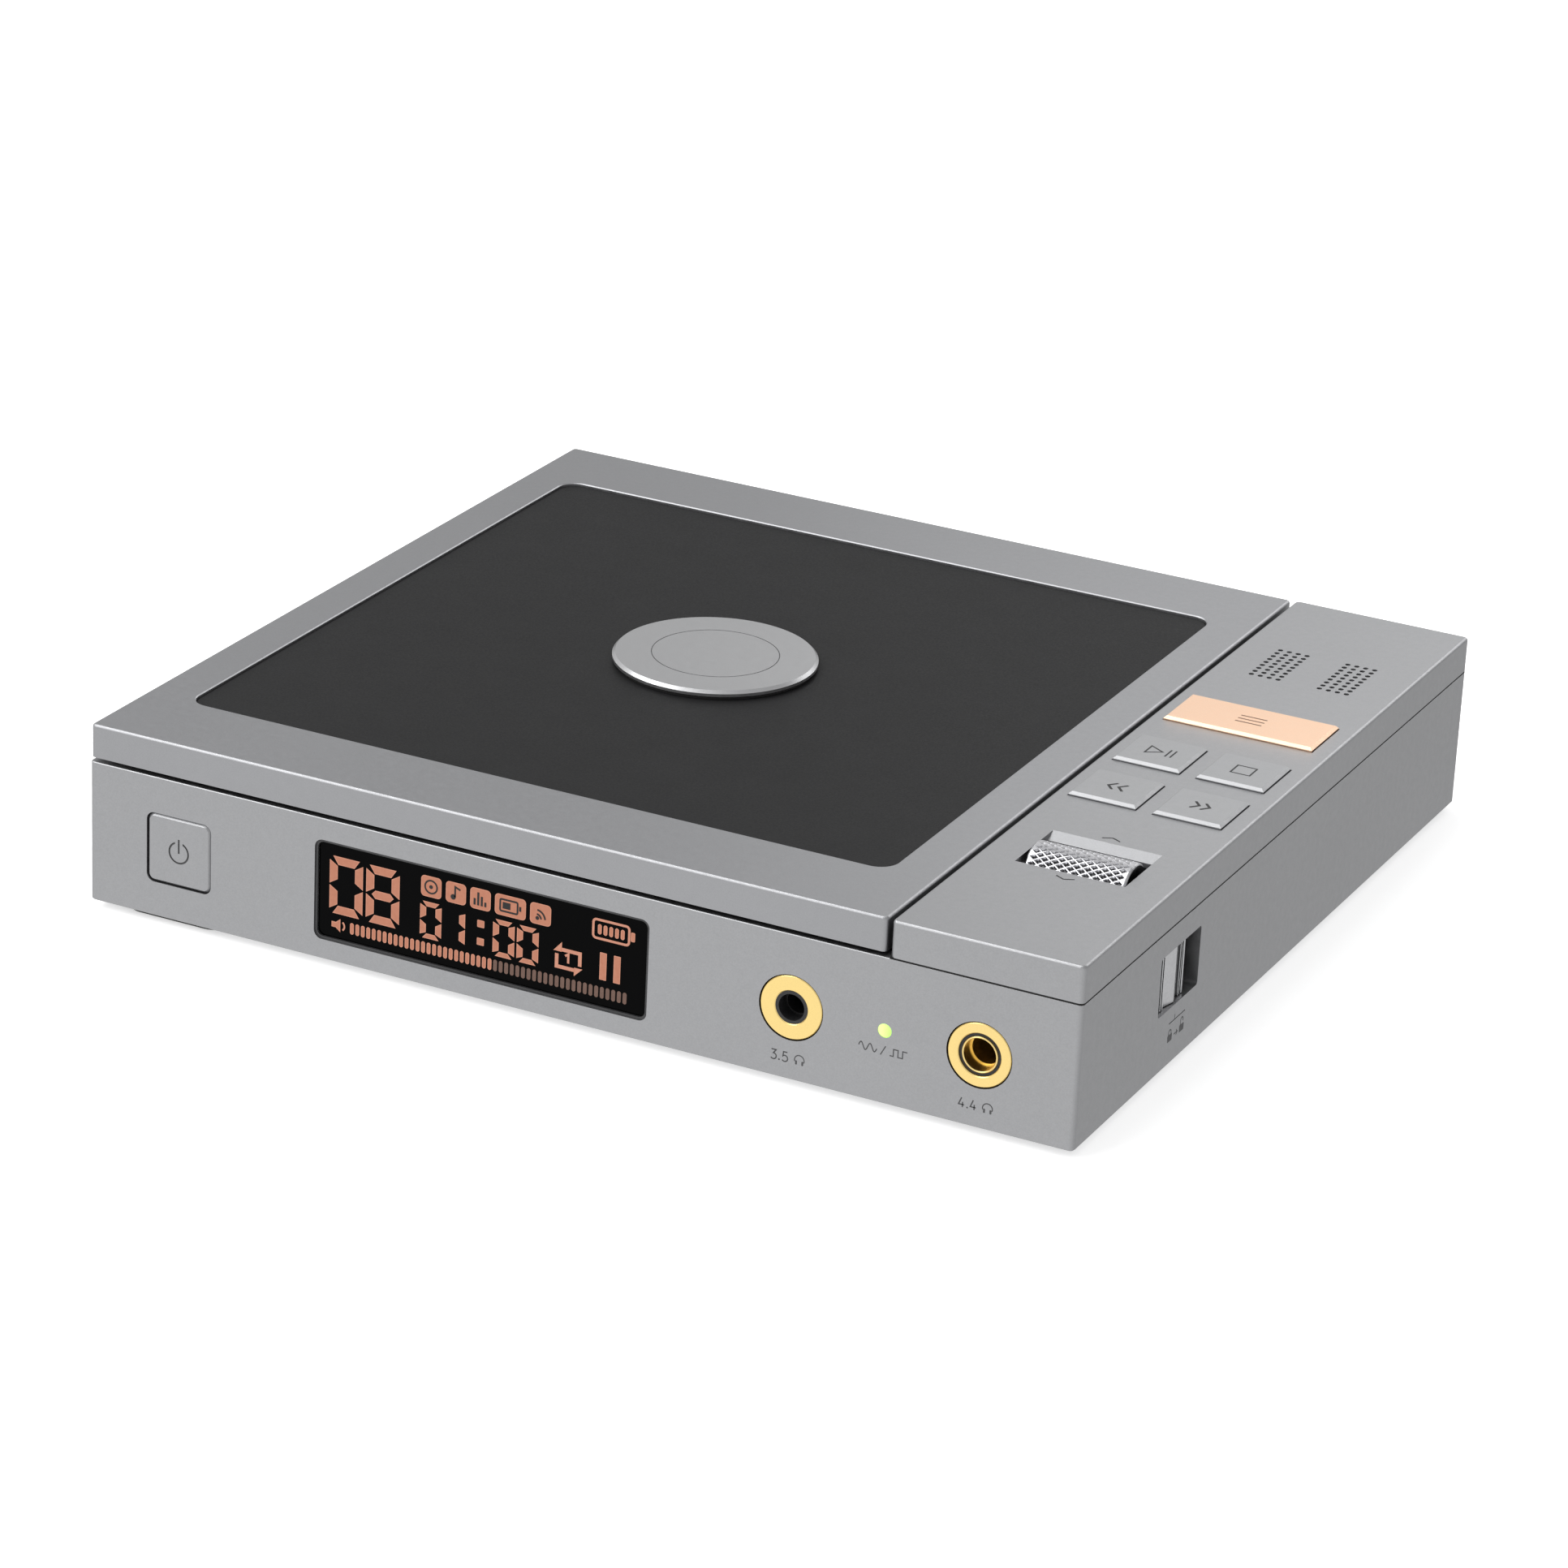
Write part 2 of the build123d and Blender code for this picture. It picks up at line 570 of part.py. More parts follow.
with BuildPart() as wheel_bracket:
    with BuildSketch(side_plane(53.2)):
        with BuildLine():
            Polyline(
                (WHEEL_Y - 4.0, KEY_BOARD_TOP_Z),
                (WHEEL_Y - 2.2, WHEEL_Z + 1.3),
                (WHEEL_Y + 2.2, WHEEL_Z + 1.3),
                (WHEEL_Y + 4.0, KEY_BOARD_TOP_Z),
                close=True,
            )
        make_face()
        with Locations((WHEEL_Y, WHEEL_Z)):
            Circle(AXLE_R + FIT, mode=Mode.SUBTRACT)
    extrude(amount=1.8)
write(wheel_bracket, "wheel_bracket")

with BuildPart() as wheel_encoder:
    with BuildSketch(side_plane(73.0)):
        with Locations((WHEEL_Y, (KEY_BOARD_TOP_Z + SKIN_Z - 0.1) / 2)):
            RectangleRounded(9.0, SKIN_Z - 0.1 - KEY_BOARD_TOP_Z, 0.6)
        with Locations((WHEEL_Y, WHEEL_Z)):
            Circle(AXLE_R + FIT, mode=Mode.SUBTRACT)
    extrude(amount=1.8)
write(wheel_encoder, "wheel_encoder")

# ================================================================ front panel

with BuildPart() as power_button:
    with BuildSketch(front_plane()):
        with Locations(POWER):
            RectangleRounded(POWER_SIZE, POWER_SIZE, 1.15)
    extrude(amount=-(WALL + 0.1))
    chamfer(power_button.faces().sort_by(Axis.Y)[0].edges(), 0.35)
    with BuildSketch(front_plane(WALL + 0.1)):
        with Locations(POWER):
            RectangleRounded(POWER_SIZE + 1.4, POWER_SIZE + 1.4, 1.3)
    extrude(amount=-0.9)
    with BuildSketch(front_plane(WALL + 1.0)):
        with Locations(POWER):
            Circle(STEM_R)
    extrude(amount=-1.85)
    # Engraved standby sign: an open ring with an upright bar
    with BuildSketch(front_plane()):
        with Locations(POWER):
            Circle(POWER_SIGN_R + POWER_STROKE / 2)
            Circle(POWER_SIGN_R - POWER_STROKE / 2, mode=Mode.SUBTRACT)
        with Locations((POWER[0], POWER[1] + 1.5)):
            Rectangle(1.3, 1.6, mode=Mode.SUBTRACT)
        with Locations((POWER[0], POWER[1] + 1.0)):
            Rectangle(POWER_STROKE, 2.2)
    extrude(amount=-GROOVE_DEPTH, mode=Mode.SUBTRACT)
write(power_button, "power_button")

with BuildPart() as power_board:
    with BuildSketch(front_plane(POWER_SWITCH_DEPTH + SWITCH_HEIGHT)):
        with Locations((POWER[0], POWER[1] - 0.6)):
            RectangleRounded(13.0, 15.6, 0.6)
    extrude(amount=-1.2)
write(power_board, "power_board")

with BuildPart() as display_bezel:
    with BuildSketch(front_plane(0.25)):
        with Locations(DISPLAY):
            RectangleRounded(DISPLAY_WIDTH, DISPLAY_HEIGHT, DISPLAY_R)
            RectangleRounded(DISPLAY_WIDTH - 0.8, DISPLAY_HEIGHT - 0.8, DISPLAY_R - 0.3, mode=Mode.SUBTRACT)
    extrude(amount=-(WALL - 0.25))
write(display_bezel, "display_bezel")

with BuildPart() as display_glass:
    with BuildSketch(front_plane(DISPLAY_SINK)):
        with Locations(DISPLAY):
            RectangleRounded(DISPLAY_WIDTH - 0.8, DISPLAY_HEIGHT - 0.8, DISPLAY_R - 0.3)
    extrude(amount=-(WALL - DISPLAY_SINK))
write(display_glass, "display_glass")

with BuildPart() as display_panel:
    with BuildSketch(front_plane(WALL)):
        with Locations(DISPLAY):
            RectangleRounded(DISPLAY_WIDTH + 2.0, DISPLAY_HEIGHT + 2.0, 1.0)
    extrude(amount=-2.0)
    with BuildSketch(front_plane(WALL + 2.0)):
        with Locations(DISPLAY):
            RectangleRounded(DISPLAY_WIDTH + 2.0, DISPLAY_HEIGHT + 1.0, 1.0)
    extrude(amount=-1.2)
write(display_panel, "display_panel")

with BuildPart() as jack_35_ring:
    with BuildSketch(front_plane(JACK_RING_SINK)):
        with Locations(JACK_35):
            Circle(JACK_RING_R)
            Circle(JACK_35_NOSE_R, mode=Mode.SUBTRACT)
    extrude(amount=-(WALL - JACK_RING_SINK))
    chamfer(jack_35_ring.faces().sort_by(Axis.Y)[0].edges(), JACK_RING_BEVEL)
write(jack_35_ring, "jack_35_ring")

with BuildPart() as jack_35_body:
    with BuildSketch(front_plane(JACK_35_SINK)):
        with Locations(JACK_35):
            Circle(JACK_35_NOSE_R)
    extrude(amount=-(WALL - JACK_35_SINK))
    with BuildSketch(front_plane(WALL)):
        with Locations((JACK_35[0], (MAIN_BOARD_TOP_Z + JACK_35_TOP_Z) / 2)):
            RectangleRounded(11.0, JACK_35_TOP_Z - MAIN_BOARD_TOP_Z, 0.8)
    extrude(amount=-JACK_35_LENGTH)
    with BuildSketch(front_plane(JACK_35_SINK)):
        with Locations(JACK_35):
            Circle(JACK_35_BORE_R)
    extrude(amount=-JACK_35_BORE_DEPTH, mode=Mode.SUBTRACT)
    with BuildSketch(front_plane()):
        with Locations(JACK_35):
            Circle(JACK_35_BORE_R + JACK_LEAD_IN)
    extrude(amount=-JACK_LEAD_IN_DEPTH, mode=Mode.SUBTRACT)
write(jack_35_body, "jack_35_body")

with BuildPart() as jack_44_ring:
    with BuildSketch(front_plane(JACK_RING_SINK)):
        with Locations(JACK_44):
            Circle(JACK_RING_R)
            Circle(JACK_44_NOSE_R, mode=Mode.SUBTRACT)
    extrude(amount=-(WALL - JACK_RING_SINK))
    chamfer(jack_44_ring.faces().sort_by(Axis.Y)[0].edges(), JACK_RING_BEVEL)
write(jack_44_ring, "jack_44_ring")

with BuildPart() as jack_44_body:
    with BuildSketch(front_plane(JACK_44_SINK)):
        with Locations(JACK_44):
            Circle(JACK_44_NOSE_R)
    extrude(amount=-(WALL - JACK_44_SINK))
    with BuildSketch(front_plane(WALL)):
        with Locations((JACK_44[0], (MAIN_BOARD_TOP_Z + JACK_44_TOP_Z) / 2)):
            RectangleRounded(12.0, JACK_44_TOP_Z - MAIN_BOARD_TOP_Z, 0.8)
    extrude(amount=-JACK_44_LENGTH)
    with BuildSketch(front_plane(JACK_44_SINK)):
        with Locations(JACK_44):
            Circle(JACK_44_SLEEVE_R)
    extrude(amount=-JACK_44_LENGTH, mode=Mode.SUBTRACT)
write(jack_44_body, "jack_44_body")

with BuildPart() as jack_44_sleeve:
    with BuildSketch(front_plane(JACK_44_SLEEVE_SINK)):
        with Locations(JACK_44):
            Circle(JACK_44_SLEEVE_R)
            Circle(JACK_44_BORE_R, mode=Mode.SUBTRACT)
    extrude(amount=-JACK_44_SLEEVE_LENGTH)
    with BuildSketch(front_plane()):
        with Locations(JACK_44):
            Circle(JACK_44_BORE_R + JACK_LEAD_IN)
    extrude(amount=-JACK_LEAD_IN_DEPTH, mode=Mode.SUBTRACT)
    chamfer(jack_44_sleeve.faces().sort_by(Axis.Y)[0].edges(), JACK_SLEEVE_BEVEL)
write(jack_44_sleeve, "jack_44_sleeve")

with BuildPart() as indicator_lens:
    with BuildSketch(front_plane(0.1)):
        with Locations(LED):
            Circle(LED_R)
    extrude(amount=-(WALL - 0.1))
    with BuildSketch(front_plane(WALL)):
        with Locations(LED):
            Circle(1.6)
    extrude(amount=-3.0)
write(indicator_lens, "indicator_lens")

# ================================================================ hold switch

with BuildPart() as hold_knob:
    # Outline in plan, from the front of the knob to its rear: rim, ribs, ridge, ribs, rim
    knob_front = HOLD_FRONT_Y + 0.15
    ridge_y = -39.2
    with BuildSketch(Plane.XY.offset(HOLD_LOW_Z + 0.15)):
        with BuildLine():
            Polyline(
                (INNER_X - 0.3, knob_front),
                (HOLD_FACE_X, knob_front),
                (HOLD_FACE_X, knob_front + 3.1),
                (HOLD_FACE_X - 0.35, knob_front + 3.1),
                (HOLD_FACE_X + 0.35, ridge_y),
                (HOLD_FACE_X - 0.35, ridge_y + 2.0),
                (HOLD_FACE_X, ridge_y + 2.0),
                (HOLD_FACE_X, knob_front + HOLD_KNOB_LENGTH),
                (INNER_X - 0.3, knob_front + HOLD_KNOB_LENGTH),
                close=True,
            )
        make_face()
    extrude(amount=HOLD_HIGH_Z - HOLD_LOW_Z - 0.3)
    with BuildSketch(Plane.XY.offset(HOLD_LOW_Z)):
        for rib in (1.1, 1.8, 2.5, 8.65, 9.2):
            with Locations((HOLD_FACE_X, knob_front + rib)):
                Rectangle(1.2, 0.35)
        with Locations((HOLD_FACE_X, ridge_y)):
            Rectangle(0.9, 0.14)
    extrude(amount=HOLD_HIGH_Z - HOLD_LOW_Z, mode=Mode.SUBTRACT)
    # Flange inside the wall, and the finger that works the switch
    with BuildSketch(side_plane(INNER_X - 1.5)):
        with Locations((knob_front + HOLD_KNOB_LENGTH / 2, (HOLD_LOW_Z + HOLD_HIGH_Z) / 2)):
            Rectangle(HOLD_KNOB_LENGTH + 2.4, 10.4)
    extrude(amount=1.2)
    with BuildSketch(side_plane(INNER_X - 1.5)):
        with Locations((ridge_y, 11.5)):
            Rectangle(2.4, 2.4)
    extrude(amount=-1.6)
write(hold_knob, "hold_knob")

with BuildPart() as hold_switch_body:
    with BuildSketch(Plane.XY.offset(MAIN_BOARD_TOP_Z)):
        with Locations((71.2, ridge_y + HOLD_TRAVEL / 2)):
            RectangleRounded(3.4, 14.0, 0.4)
    extrude(amount=8.0)
write(hold_switch_body, "hold_switch_body")

# ================================================================ boards, battery, port

with BuildPart() as main_board:
    with BuildSketch(Plane.XY.offset(MAIN_BOARD_Z)):
        with Locations(MAIN_BOARD_CENTRE):
            RectangleRounded(*MAIN_BOARD_SIZE, 1.5)
        with Locations(*CORNER_POSTS, *MIDDLE_POSTS):
            Circle(POST_R + 0.5, mode=Mode.SUBTRACT)
        with Locations(*BOARD_SCREWS):
            Circle(SMALL_SCREW_R, mode=Mode.SUBTRACT)
    extrude(amount=BOARD_THICK)
write(main_board, "main_board")

with BuildPart() as board_chips:
    with BuildSketch(Plane.XY.offset(MAIN_BOARD_TOP_Z)):
        with Locations((38, -12), (38, 12)):
            RectangleRounded(11, 11, 0.3)
        with Locations((56, -12), (56, 6), (28, 32)):
            RectangleRounded(6, 6, 0.3)
        with Locations((60, 30), (60, 40)):
            RectangleRounded(8, 5, 0.3)
    extrude(amount=1.1)
    with BuildSketch(Plane.XY.offset(MAIN_BOARD_TOP_Z)):
        with Locations((26, -18), (26, -10), (26, -2), (68, -4), (68, 4)):
            Circle(3.0)
    extrude(amount=6.0)
write(board_chips, "board_chips")

with BuildPart() as battery_pack:
    with BuildSketch(Plane.XY.offset(PLATE_TOP_Z)):
        with Locations(BATTERY_CENTRE):
            RectangleRounded(*BATTERY_SIZE, 1.5)
    extrude(amount=BATTERY_THICK)
    fillet(battery_pack.faces().sort_by(Axis.Z)[-1].edges(), 1.0)
write(battery_pack, "battery_pack")

with BuildPart() as usb_port:
    with BuildSketch(front_plane(DEPTH - 0.25)):
        with Locations((USB_X, MAIN_BOARD_TOP_Z + USB_HEIGHT / 2)):
            SlotOverall(USB_WIDTH, USB_HEIGHT)
    extrude(amount=8.0)
    with BuildSketch(front_plane(DEPTH - 0.25)):
        with Locations((USB_X, MAIN_BOARD_TOP_Z + USB_HEIGHT / 2)):
            SlotOverall(USB_WIDTH - 0.6, USB_HEIGHT - 0.6)
    extrude(amount=7.0, mode=Mode.SUBTRACT)
    with BuildSketch(front_plane(DEPTH - 0.9)):
        with Locations((USB_X, MAIN_BOARD_TOP_Z + USB_HEIGHT / 2)):
            Rectangle(6.7, 0.7)
    extrude(amount=6.6)
write(usb_port, "usb_port")

# ================================================================ disc deck

with BuildPart() as disc_deck:
    with BuildSketch(Plane.XY.offset(DECK_TOP_Z)):
        with Locations(((DECK_RIGHT_X - INNER_X) / 2, 0)):
            RectangleRounded(DECK_RIGHT_X + INNER_X, 2 * INNER_Y, CORNER_R)
    extrude(amount=-DECK_THICK)
    # Well wall and floor
    with BuildSketch(Plane.XY.offset(WELL_FLOOR_Z - WELL_FLOOR_THICK)):
        with Locations((DISC_X, 0)):
            Circle(WELL_R + WELL_WALL)
        with Locations((-INNER_X - 20.0, 0)):
            Rectangle(40.0, DEPTH, mode=Mode.SUBTRACT)
    extrude(amount=DECK_TOP_Z - WELL_FLOOR_Z + WELL_FLOOR_THICK)
    with BuildSketch(Plane.XY.offset(WELL_FLOOR_Z)):
        with Locations((DISC_X, 0)):
            Circle(WELL_R)
    extrude(amount=DECK_TOP_Z - WELL_FLOOR_Z, mode=Mode.SUBTRACT)
    # Finger scallops at the front and rear edge of the well
    with BuildSketch(Plane.XY.offset(DECK_TOP_Z)):
        with Locations((DISC_X, -WELL_R), (DISC_X, WELL_R)):
            Circle(FINGER_R)
    extrude(amount=-1.2, mode=Mode.SUBTRACT)
    # Openings of the turntable and of the pickup
    with BuildSketch(Plane.XY.offset(WELL_FLOOR_Z)):
        with Locations((DISC_X, 0)):
            Circle(HUB_OPENING_R)
        with Locations((DISC_X, 41.0)):
            Rectangle(20.0, 50.0)
    extrude(amount=-WELL_FLOOR_THICK, mode=Mode.SUBTRACT)
    with BuildSketch(Plane.XY.offset(WELL_FLOOR_Z)):
        with Locations((DISC_X, 61.0)):
            Rectangle(20.0, 10.0)
    extrude(amount=1.9, mode=Mode.SUBTRACT)
    # Room for the hinge brackets, the magnets and the screws
    with BuildSketch(Plane.XY.offset(DECK_TOP_Z)):
        for x in HINGE_XS:
            with Locations((x, (BRACKET_FRONT_Y - 0.2 + INNER_Y) / 2)):
                Rectangle(NOTCH_WIDTH, INNER_Y - BRACKET_FRONT_Y + 0.2)
        with Locations(*[(x, MAGNET_Y) for x in MAGNET_XS]):
            Circle(MAGNET_R)
        with Locations(*DECK_SCREWS):
            Circle(SMALL_SCREW_R)
    extrude(amount=-DECK_THICK, mode=Mode.SUBTRACT)
    with BuildSketch(Plane.XY.offset(DECK_TOP_Z)):
        with Locations(*DECK_SCREWS):
            Circle(SMALL_SCREW_HEAD_R)
    extrude(amount=-SMALL_SCREW_HEAD, mode=Mode.SUBTRACT)
write(disc_deck, "disc_deck")

with BuildPart() as deck_magnets:
    with BuildSketch(Plane.XY.offset(DECK_TOP_Z - DECK_THICK)):
        with Locations(*[(x, MAGNET_Y) for x in MAGNET_XS]):
            Circle(MAGNET_R)
    extrude(amount=DECK_THICK)
write(deck_magnets, "deck_magnets")

# Identical small screws: deck, hinge brackets and main board, as (x, y, top of the head)
SMALL_SCREWS = (
    [(x, y, DECK_TOP_Z) for x, y in DECK_SCREWS]
    + [(x, BRACKET_SCREW_Y, SEAM_Z) for x in HINGE_XS]
    + [(x, y, MAIN_BOARD_TOP_Z + SMALL_SCREW_HEAD) for x, y in BOARD_SCREWS]
)
with BuildPart() as small_screws:
    for x, y, z in SMALL_SCREWS:
        with Locations((x, y, z - SMALL_SCREW_HEAD / 2)):
            Cylinder(SMALL_SCREW_HEAD_R, SMALL_SCREW_HEAD)
        with Locations((x, y, z - SMALL_SCREW_LENGTH / 2)):
            Cylinder(SMALL_SCREW_R, SMALL_SCREW_LENGTH)
        with Locations((x, y, z)):
            Box(1.6, 0.3, 0.4, mode=Mode.SUBTRACT)
            Box(0.3, 1.6, 0.4, mode=Mode.SUBTRACT)
write(small_screws, "small_screws")

# ================================================================ lid hinge

with BuildPart() as hinge_brackets:
    for x in HINGE_XS:
        with BuildSketch(side_plane(x - EAR_WIDTH / 2)):
            with Locations(((BRACKET_FRONT_Y + FRONT_Y) / 2, (BRACKET_FOOT_Z + SEAM_Z) / 2)):
                Rectangle(FRONT_Y - BRACKET_FRONT_Y, SEAM_Z - BRACKET_FOOT_Z)
            with Locations((HINGE_Y, (SEAM_Z + HINGE_Z) / 2)):
                Rectangle(2 * EAR_R, HINGE_Z - SEAM_Z)
            with Locations((HINGE_Y, HINGE_Z)):
                Circle(EAR_R)
                Circle(PIN_R + FIT, mode=Mode.SUBTRACT)
        extrude(amount=EAR_WIDTH)
    with BuildSketch(Plane.XY.offset(SEAM_Z)):
        with Locations(*[(x, BRACKET_SCREW_Y) for x in HINGE_XS]):
            Circle(SMALL_SCREW_R)
    extrude(amount=BRACKET_FOOT_Z - SEAM_Z, mode=Mode.SUBTRACT)
    with BuildSketch(Plane.XY.offset(SEAM_Z)):
        with Locations(*[(x, BRACKET_SCREW_Y) for x in HINGE_XS]):
            Circle(SMALL_SCREW_HEAD_R)
    extrude(amount=-SMALL_SCREW_HEAD, mode=Mode.SUBTRACT)
write(hinge_brackets, "hinge_brackets")

with BuildPart() as hinge_pins:
    for x in HINGE_XS:
        with BuildSketch(side_plane(x - PIN_LENGTH / 2)):
            with Locations((HINGE_Y, HINGE_Z)):
                Circle(PIN_R)
        extrude(amount=PIN_LENGTH)
write(hinge_pins, "hinge_pins")

# ================================================================ lid

with BuildPart() as lid_frame:
    with BuildSketch(Plane.XY.offset(LID_BOTTOM_Z)):
        with Locations((LID_X, 0)):
            RectangleRounded(LID_WIDTH, LID_DEPTH, CORNER_R)
    extrude(amount=LID_HEIGHT)
    fillet(lid_frame.faces().sort_by(Axis.Z)[-1].edges(), TOP_EDGE_R)
    # Rear lower edge, round about the hinge axis so the open lid clears the case
    with BuildSketch(side_plane(-RIGHT_X)):
        with Locations((HINGE_Y + HINGE_R / 2, HINGE_Z - HINGE_R / 2)):
            Rectangle(HINGE_R, HINGE_R)
        with Locations((HINGE_Y, HINGE_Z)):
            Circle(HINGE_R, mode=Mode.SUBTRACT)
    extrude(amount=LID_WIDTH, mode=Mode.SUBTRACT)
    # Window seat and the opening inside it
    with BuildSketch(Plane.XY.offset(TOP_Z)):
        with Locations((LID_X, 0)):
            RectangleRounded(WINDOW_WIDTH, WINDOW_DEPTH, WINDOW_R)
    extrude(amount=-(WINDOW_SINK + WINDOW_THICK), mode=Mode.SUBTRACT)
    seat_edges = lid_frame.faces().filter_by(Axis.Z).sort_by(Axis.Z)[-1].inner_wires().edges()
    chamfer(seat_edges, 0.15)
    with BuildSketch(Plane.XY.offset(TOP_Z)):
        with Locations((LID_X, 0)):
            RectangleRounded(WINDOW_WIDTH - 6.0, WINDOW_DEPTH - 6.0, WINDOW_R)
    extrude(amount=-LID_HEIGHT, mode=Mode.SUBTRACT)
    # Liner recess in the underside
    with BuildSketch(Plane.XY.offset(LID_BOTTOM_Z)):
        with Locations((LID_X, 0)):
            RectangleRounded(LINER_WIDTH, LINER_DEPTH, 1.0)
    extrude(amount=LINER_THICK, mode=Mode.SUBTRACT)
    # Notches for the bracket ears, open to the rear and below
    with BuildSketch(Plane.XY.offset(LID_BOTTOM_Z)):
        for x in HINGE_XS:
            with Locations((x, HINGE_Y - EAR_R - 0.35 + 2.5)):
                Rectangle(NOTCH_WIDTH, 5.0)
    extrude(amount=HINGE_R + EAR_R + 0.35, mode=Mode.SUBTRACT)
    for x in HINGE_XS:
        with BuildSketch(side_plane(x - PIN_LENGTH / 2)):
            with Locations((HINGE_Y, HINGE_Z)):
                Circle(PIN_R)
        extrude(amount=PIN_LENGTH, mode=Mode.SUBTRACT)
    with BuildSketch(Plane.XY.offset(LID_BOTTOM_Z)):
        with Locations(*[(x, MAGNET_Y) for x in MAGNET_XS]):
            Circle(MAGNET_R)
    extrude(amount=1.5, mode=Mode.SUBTRACT)
write(lid_frame, "lid_frame")

with BuildPart() as lid_magnets:
    with BuildSketch(Plane.XY.offset(LID_BOTTOM_Z)):
        with Locations(*[(x, MAGNET_Y) for x in MAGNET_XS]):
            Circle(MAGNET_R)
    extrude(amount=1.5)
write(lid_magnets, "lid_magnets")

with BuildPart() as lid_window:
    with BuildSketch(Plane.XY.offset(WINDOW_TOP_Z)):
        with Locations((LID_X, 0)):
            RectangleRounded(WINDOW_WIDTH - 0.2, WINDOW_DEPTH - 0.2, WINDOW_R - 0.1)
    extrude(amount=-WINDOW_THICK)
    chamfer(lid_window.faces().sort_by(Axis.Z)[-1].edges(), 0.12)
write(lid_window, "lid_window")

with BuildPart() as lid_liner:
    with BuildSketch(Plane.XY.offset(LID_BOTTOM_Z)):
        with Locations((LID_X, 0)):
            RectangleRounded(LINER_WIDTH - 0.2, LINER_DEPTH - 0.2, 1.0)
    extrude(amount=LINER_THICK)
    with BuildSketch(Plane.XY.offset(LID_BOTTOM_Z)):
        with Locations((LID_X, 0)):
            Circle(LINER_WIDTH / 2 - 1.6)
    extrude(amount=0.4, mode=Mode.SUBTRACT)
write(lid_liner, "lid_liner")

with BuildPart() as emblem_gasket:
    with BuildSketch(Plane.XY.offset(WINDOW_TOP_Z)):
        with Locations((LID_X, 0)):
            Circle(EMBLEM_R - 0.45)
    extrude(amount=EMBLEM_TOP_Z - EMBLEM_THICK - WINDOW_TOP_Z)
write(emblem_gasket, "emblem_gasket")

with BuildPart() as lid_emblem:
    with BuildSketch(Plane.XY.offset(EMBLEM_TOP_Z)):
        with Locations((LID_X, 0)):
            Circle(EMBLEM_R)
    extrude(amount=-EMBLEM_THICK)
    chamfer(lid_emblem.faces().sort_by(Axis.Z)[-1].edges(), 0.45)
    # Engraved rings, like the tracks of a disc
    with BuildSketch(Plane.XY.offset(EMBLEM_TOP_Z)):
        for ring_r in (3.2, 9.6):
            with Locations((LID_X, 0)):
                Circle(ring_r + GROOVE)
                Circle(ring_r, mode=Mode.SUBTRACT)
    extrude(amount=-GROOVE_DEPTH, mode=Mode.SUBTRACT)
write(lid_emblem, "lid_emblem")

# ================================================================ disc mechanism

EAR_LEFT_X = CHASSIS_LEFT_X + 7.0
EAR_RIGHT_X = 4.0
EAR_THICK = 1.8
with BuildPart() as mechanism_chassis:
    with BuildSketch(Plane.XY.offset(CHASSIS_Z)):
        with Locations(
            ((CHASSIS_LEFT_X + CHASSIS_RIGHT_X) / 2, (CHASSIS_FRONT_Y + CHASSIS_REAR_Y) / 2)
        ):
            RectangleRounded(
                CHASSIS_RIGHT_X - CHASSIS_LEFT_X, CHASSIS_REAR_Y - CHASSIS_FRONT_Y, 3.0
            )
        # Pickup window, and the notch beside it for the sled motor
        with Locations((-21.0, 41.25)):
            Rectangle(35.0, 48.5, mode=Mode.SUBTRACT)
        with Locations((SCREW_X, 9.5)):
            Rectangle(9.0, 17.0, mode=Mode.SUBTRACT)
        with Locations(*DAMPER_SPOTS):
            Circle(2.2, mode=Mode.SUBTRACT)
        with Locations((DISC_X, 0)):
            Circle(3.0, mode=Mode.SUBTRACT)
    extrude(amount=CHASSIS_THICK)
    for y in (ROD_FRONT_Y, ROD_REAR_Y - EAR_THICK):
        with BuildSketch(Plane.XZ.offset(-y)):
            with Locations(((EAR_LEFT_X + EAR_RIGHT_X) / 2, 14.8)):
                Rectangle(EAR_RIGHT_X - EAR_LEFT_X, 5.4)
        extrude(amount=-EAR_THICK)
    # Seats of the rods, and the bearings of the lead screw
    with BuildSketch(Plane.XZ.offset(-ROD_FRONT_Y)):
        with Locations(*[(x, ROD_Z) for x in ROD_XS]):
            Circle(ROD_R)
        with Locations((SCREW_X, SCREW_Z)):
            Circle(SCREW_R + FIT)
    extrude(amount=ROD_FRONT_Y - ROD_REAR_Y, mode=Mode.SUBTRACT)
write(mechanism_chassis, "mechanism_chassis")

with BuildPart() as chassis_dampers:
    for x, y in DAMPER_SPOTS:
        with Locations((x, y, 10.5)):
            Cylinder(3.4, CHASSIS_Z - 10.5, align=(Align.CENTER, Align.CENTER, Align.MIN))
        with Locations((x, y, CHASSIS_Z)):
            Cylinder(2.2, CHASSIS_THICK, align=(Align.CENTER, Align.CENTER, Align.MIN))
        with Locations((x, y, CHASSIS_TOP_Z)):
            Cylinder(3.4, 1.2, align=(Align.CENTER, Align.CENTER, Align.MIN))
        with Locations((x, y, 10.5)):
            Cylinder(SHAFT_R, 8.0, align=(Align.CENTER, Align.CENTER, Align.MIN), mode=Mode.SUBTRACT)
write(chassis_dampers, "chassis_dampers")

with BuildPart() as damper_screws:
    for x, y in DAMPER_SPOTS:
        with Locations((x, y, 6.5)):
            Cylinder(SHAFT_R, CHASSIS_TOP_Z + 1.2 - 6.5, align=(Align.CENTER, Align.CENTER, Align.MIN))
        with Locations((x, y, CHASSIS_TOP_Z + 1.2)):
            Cylinder(2.2, 0.9, align=(Align.CENTER, Align.CENTER, Align.MIN))
write(damper_screws, "damper_screws")

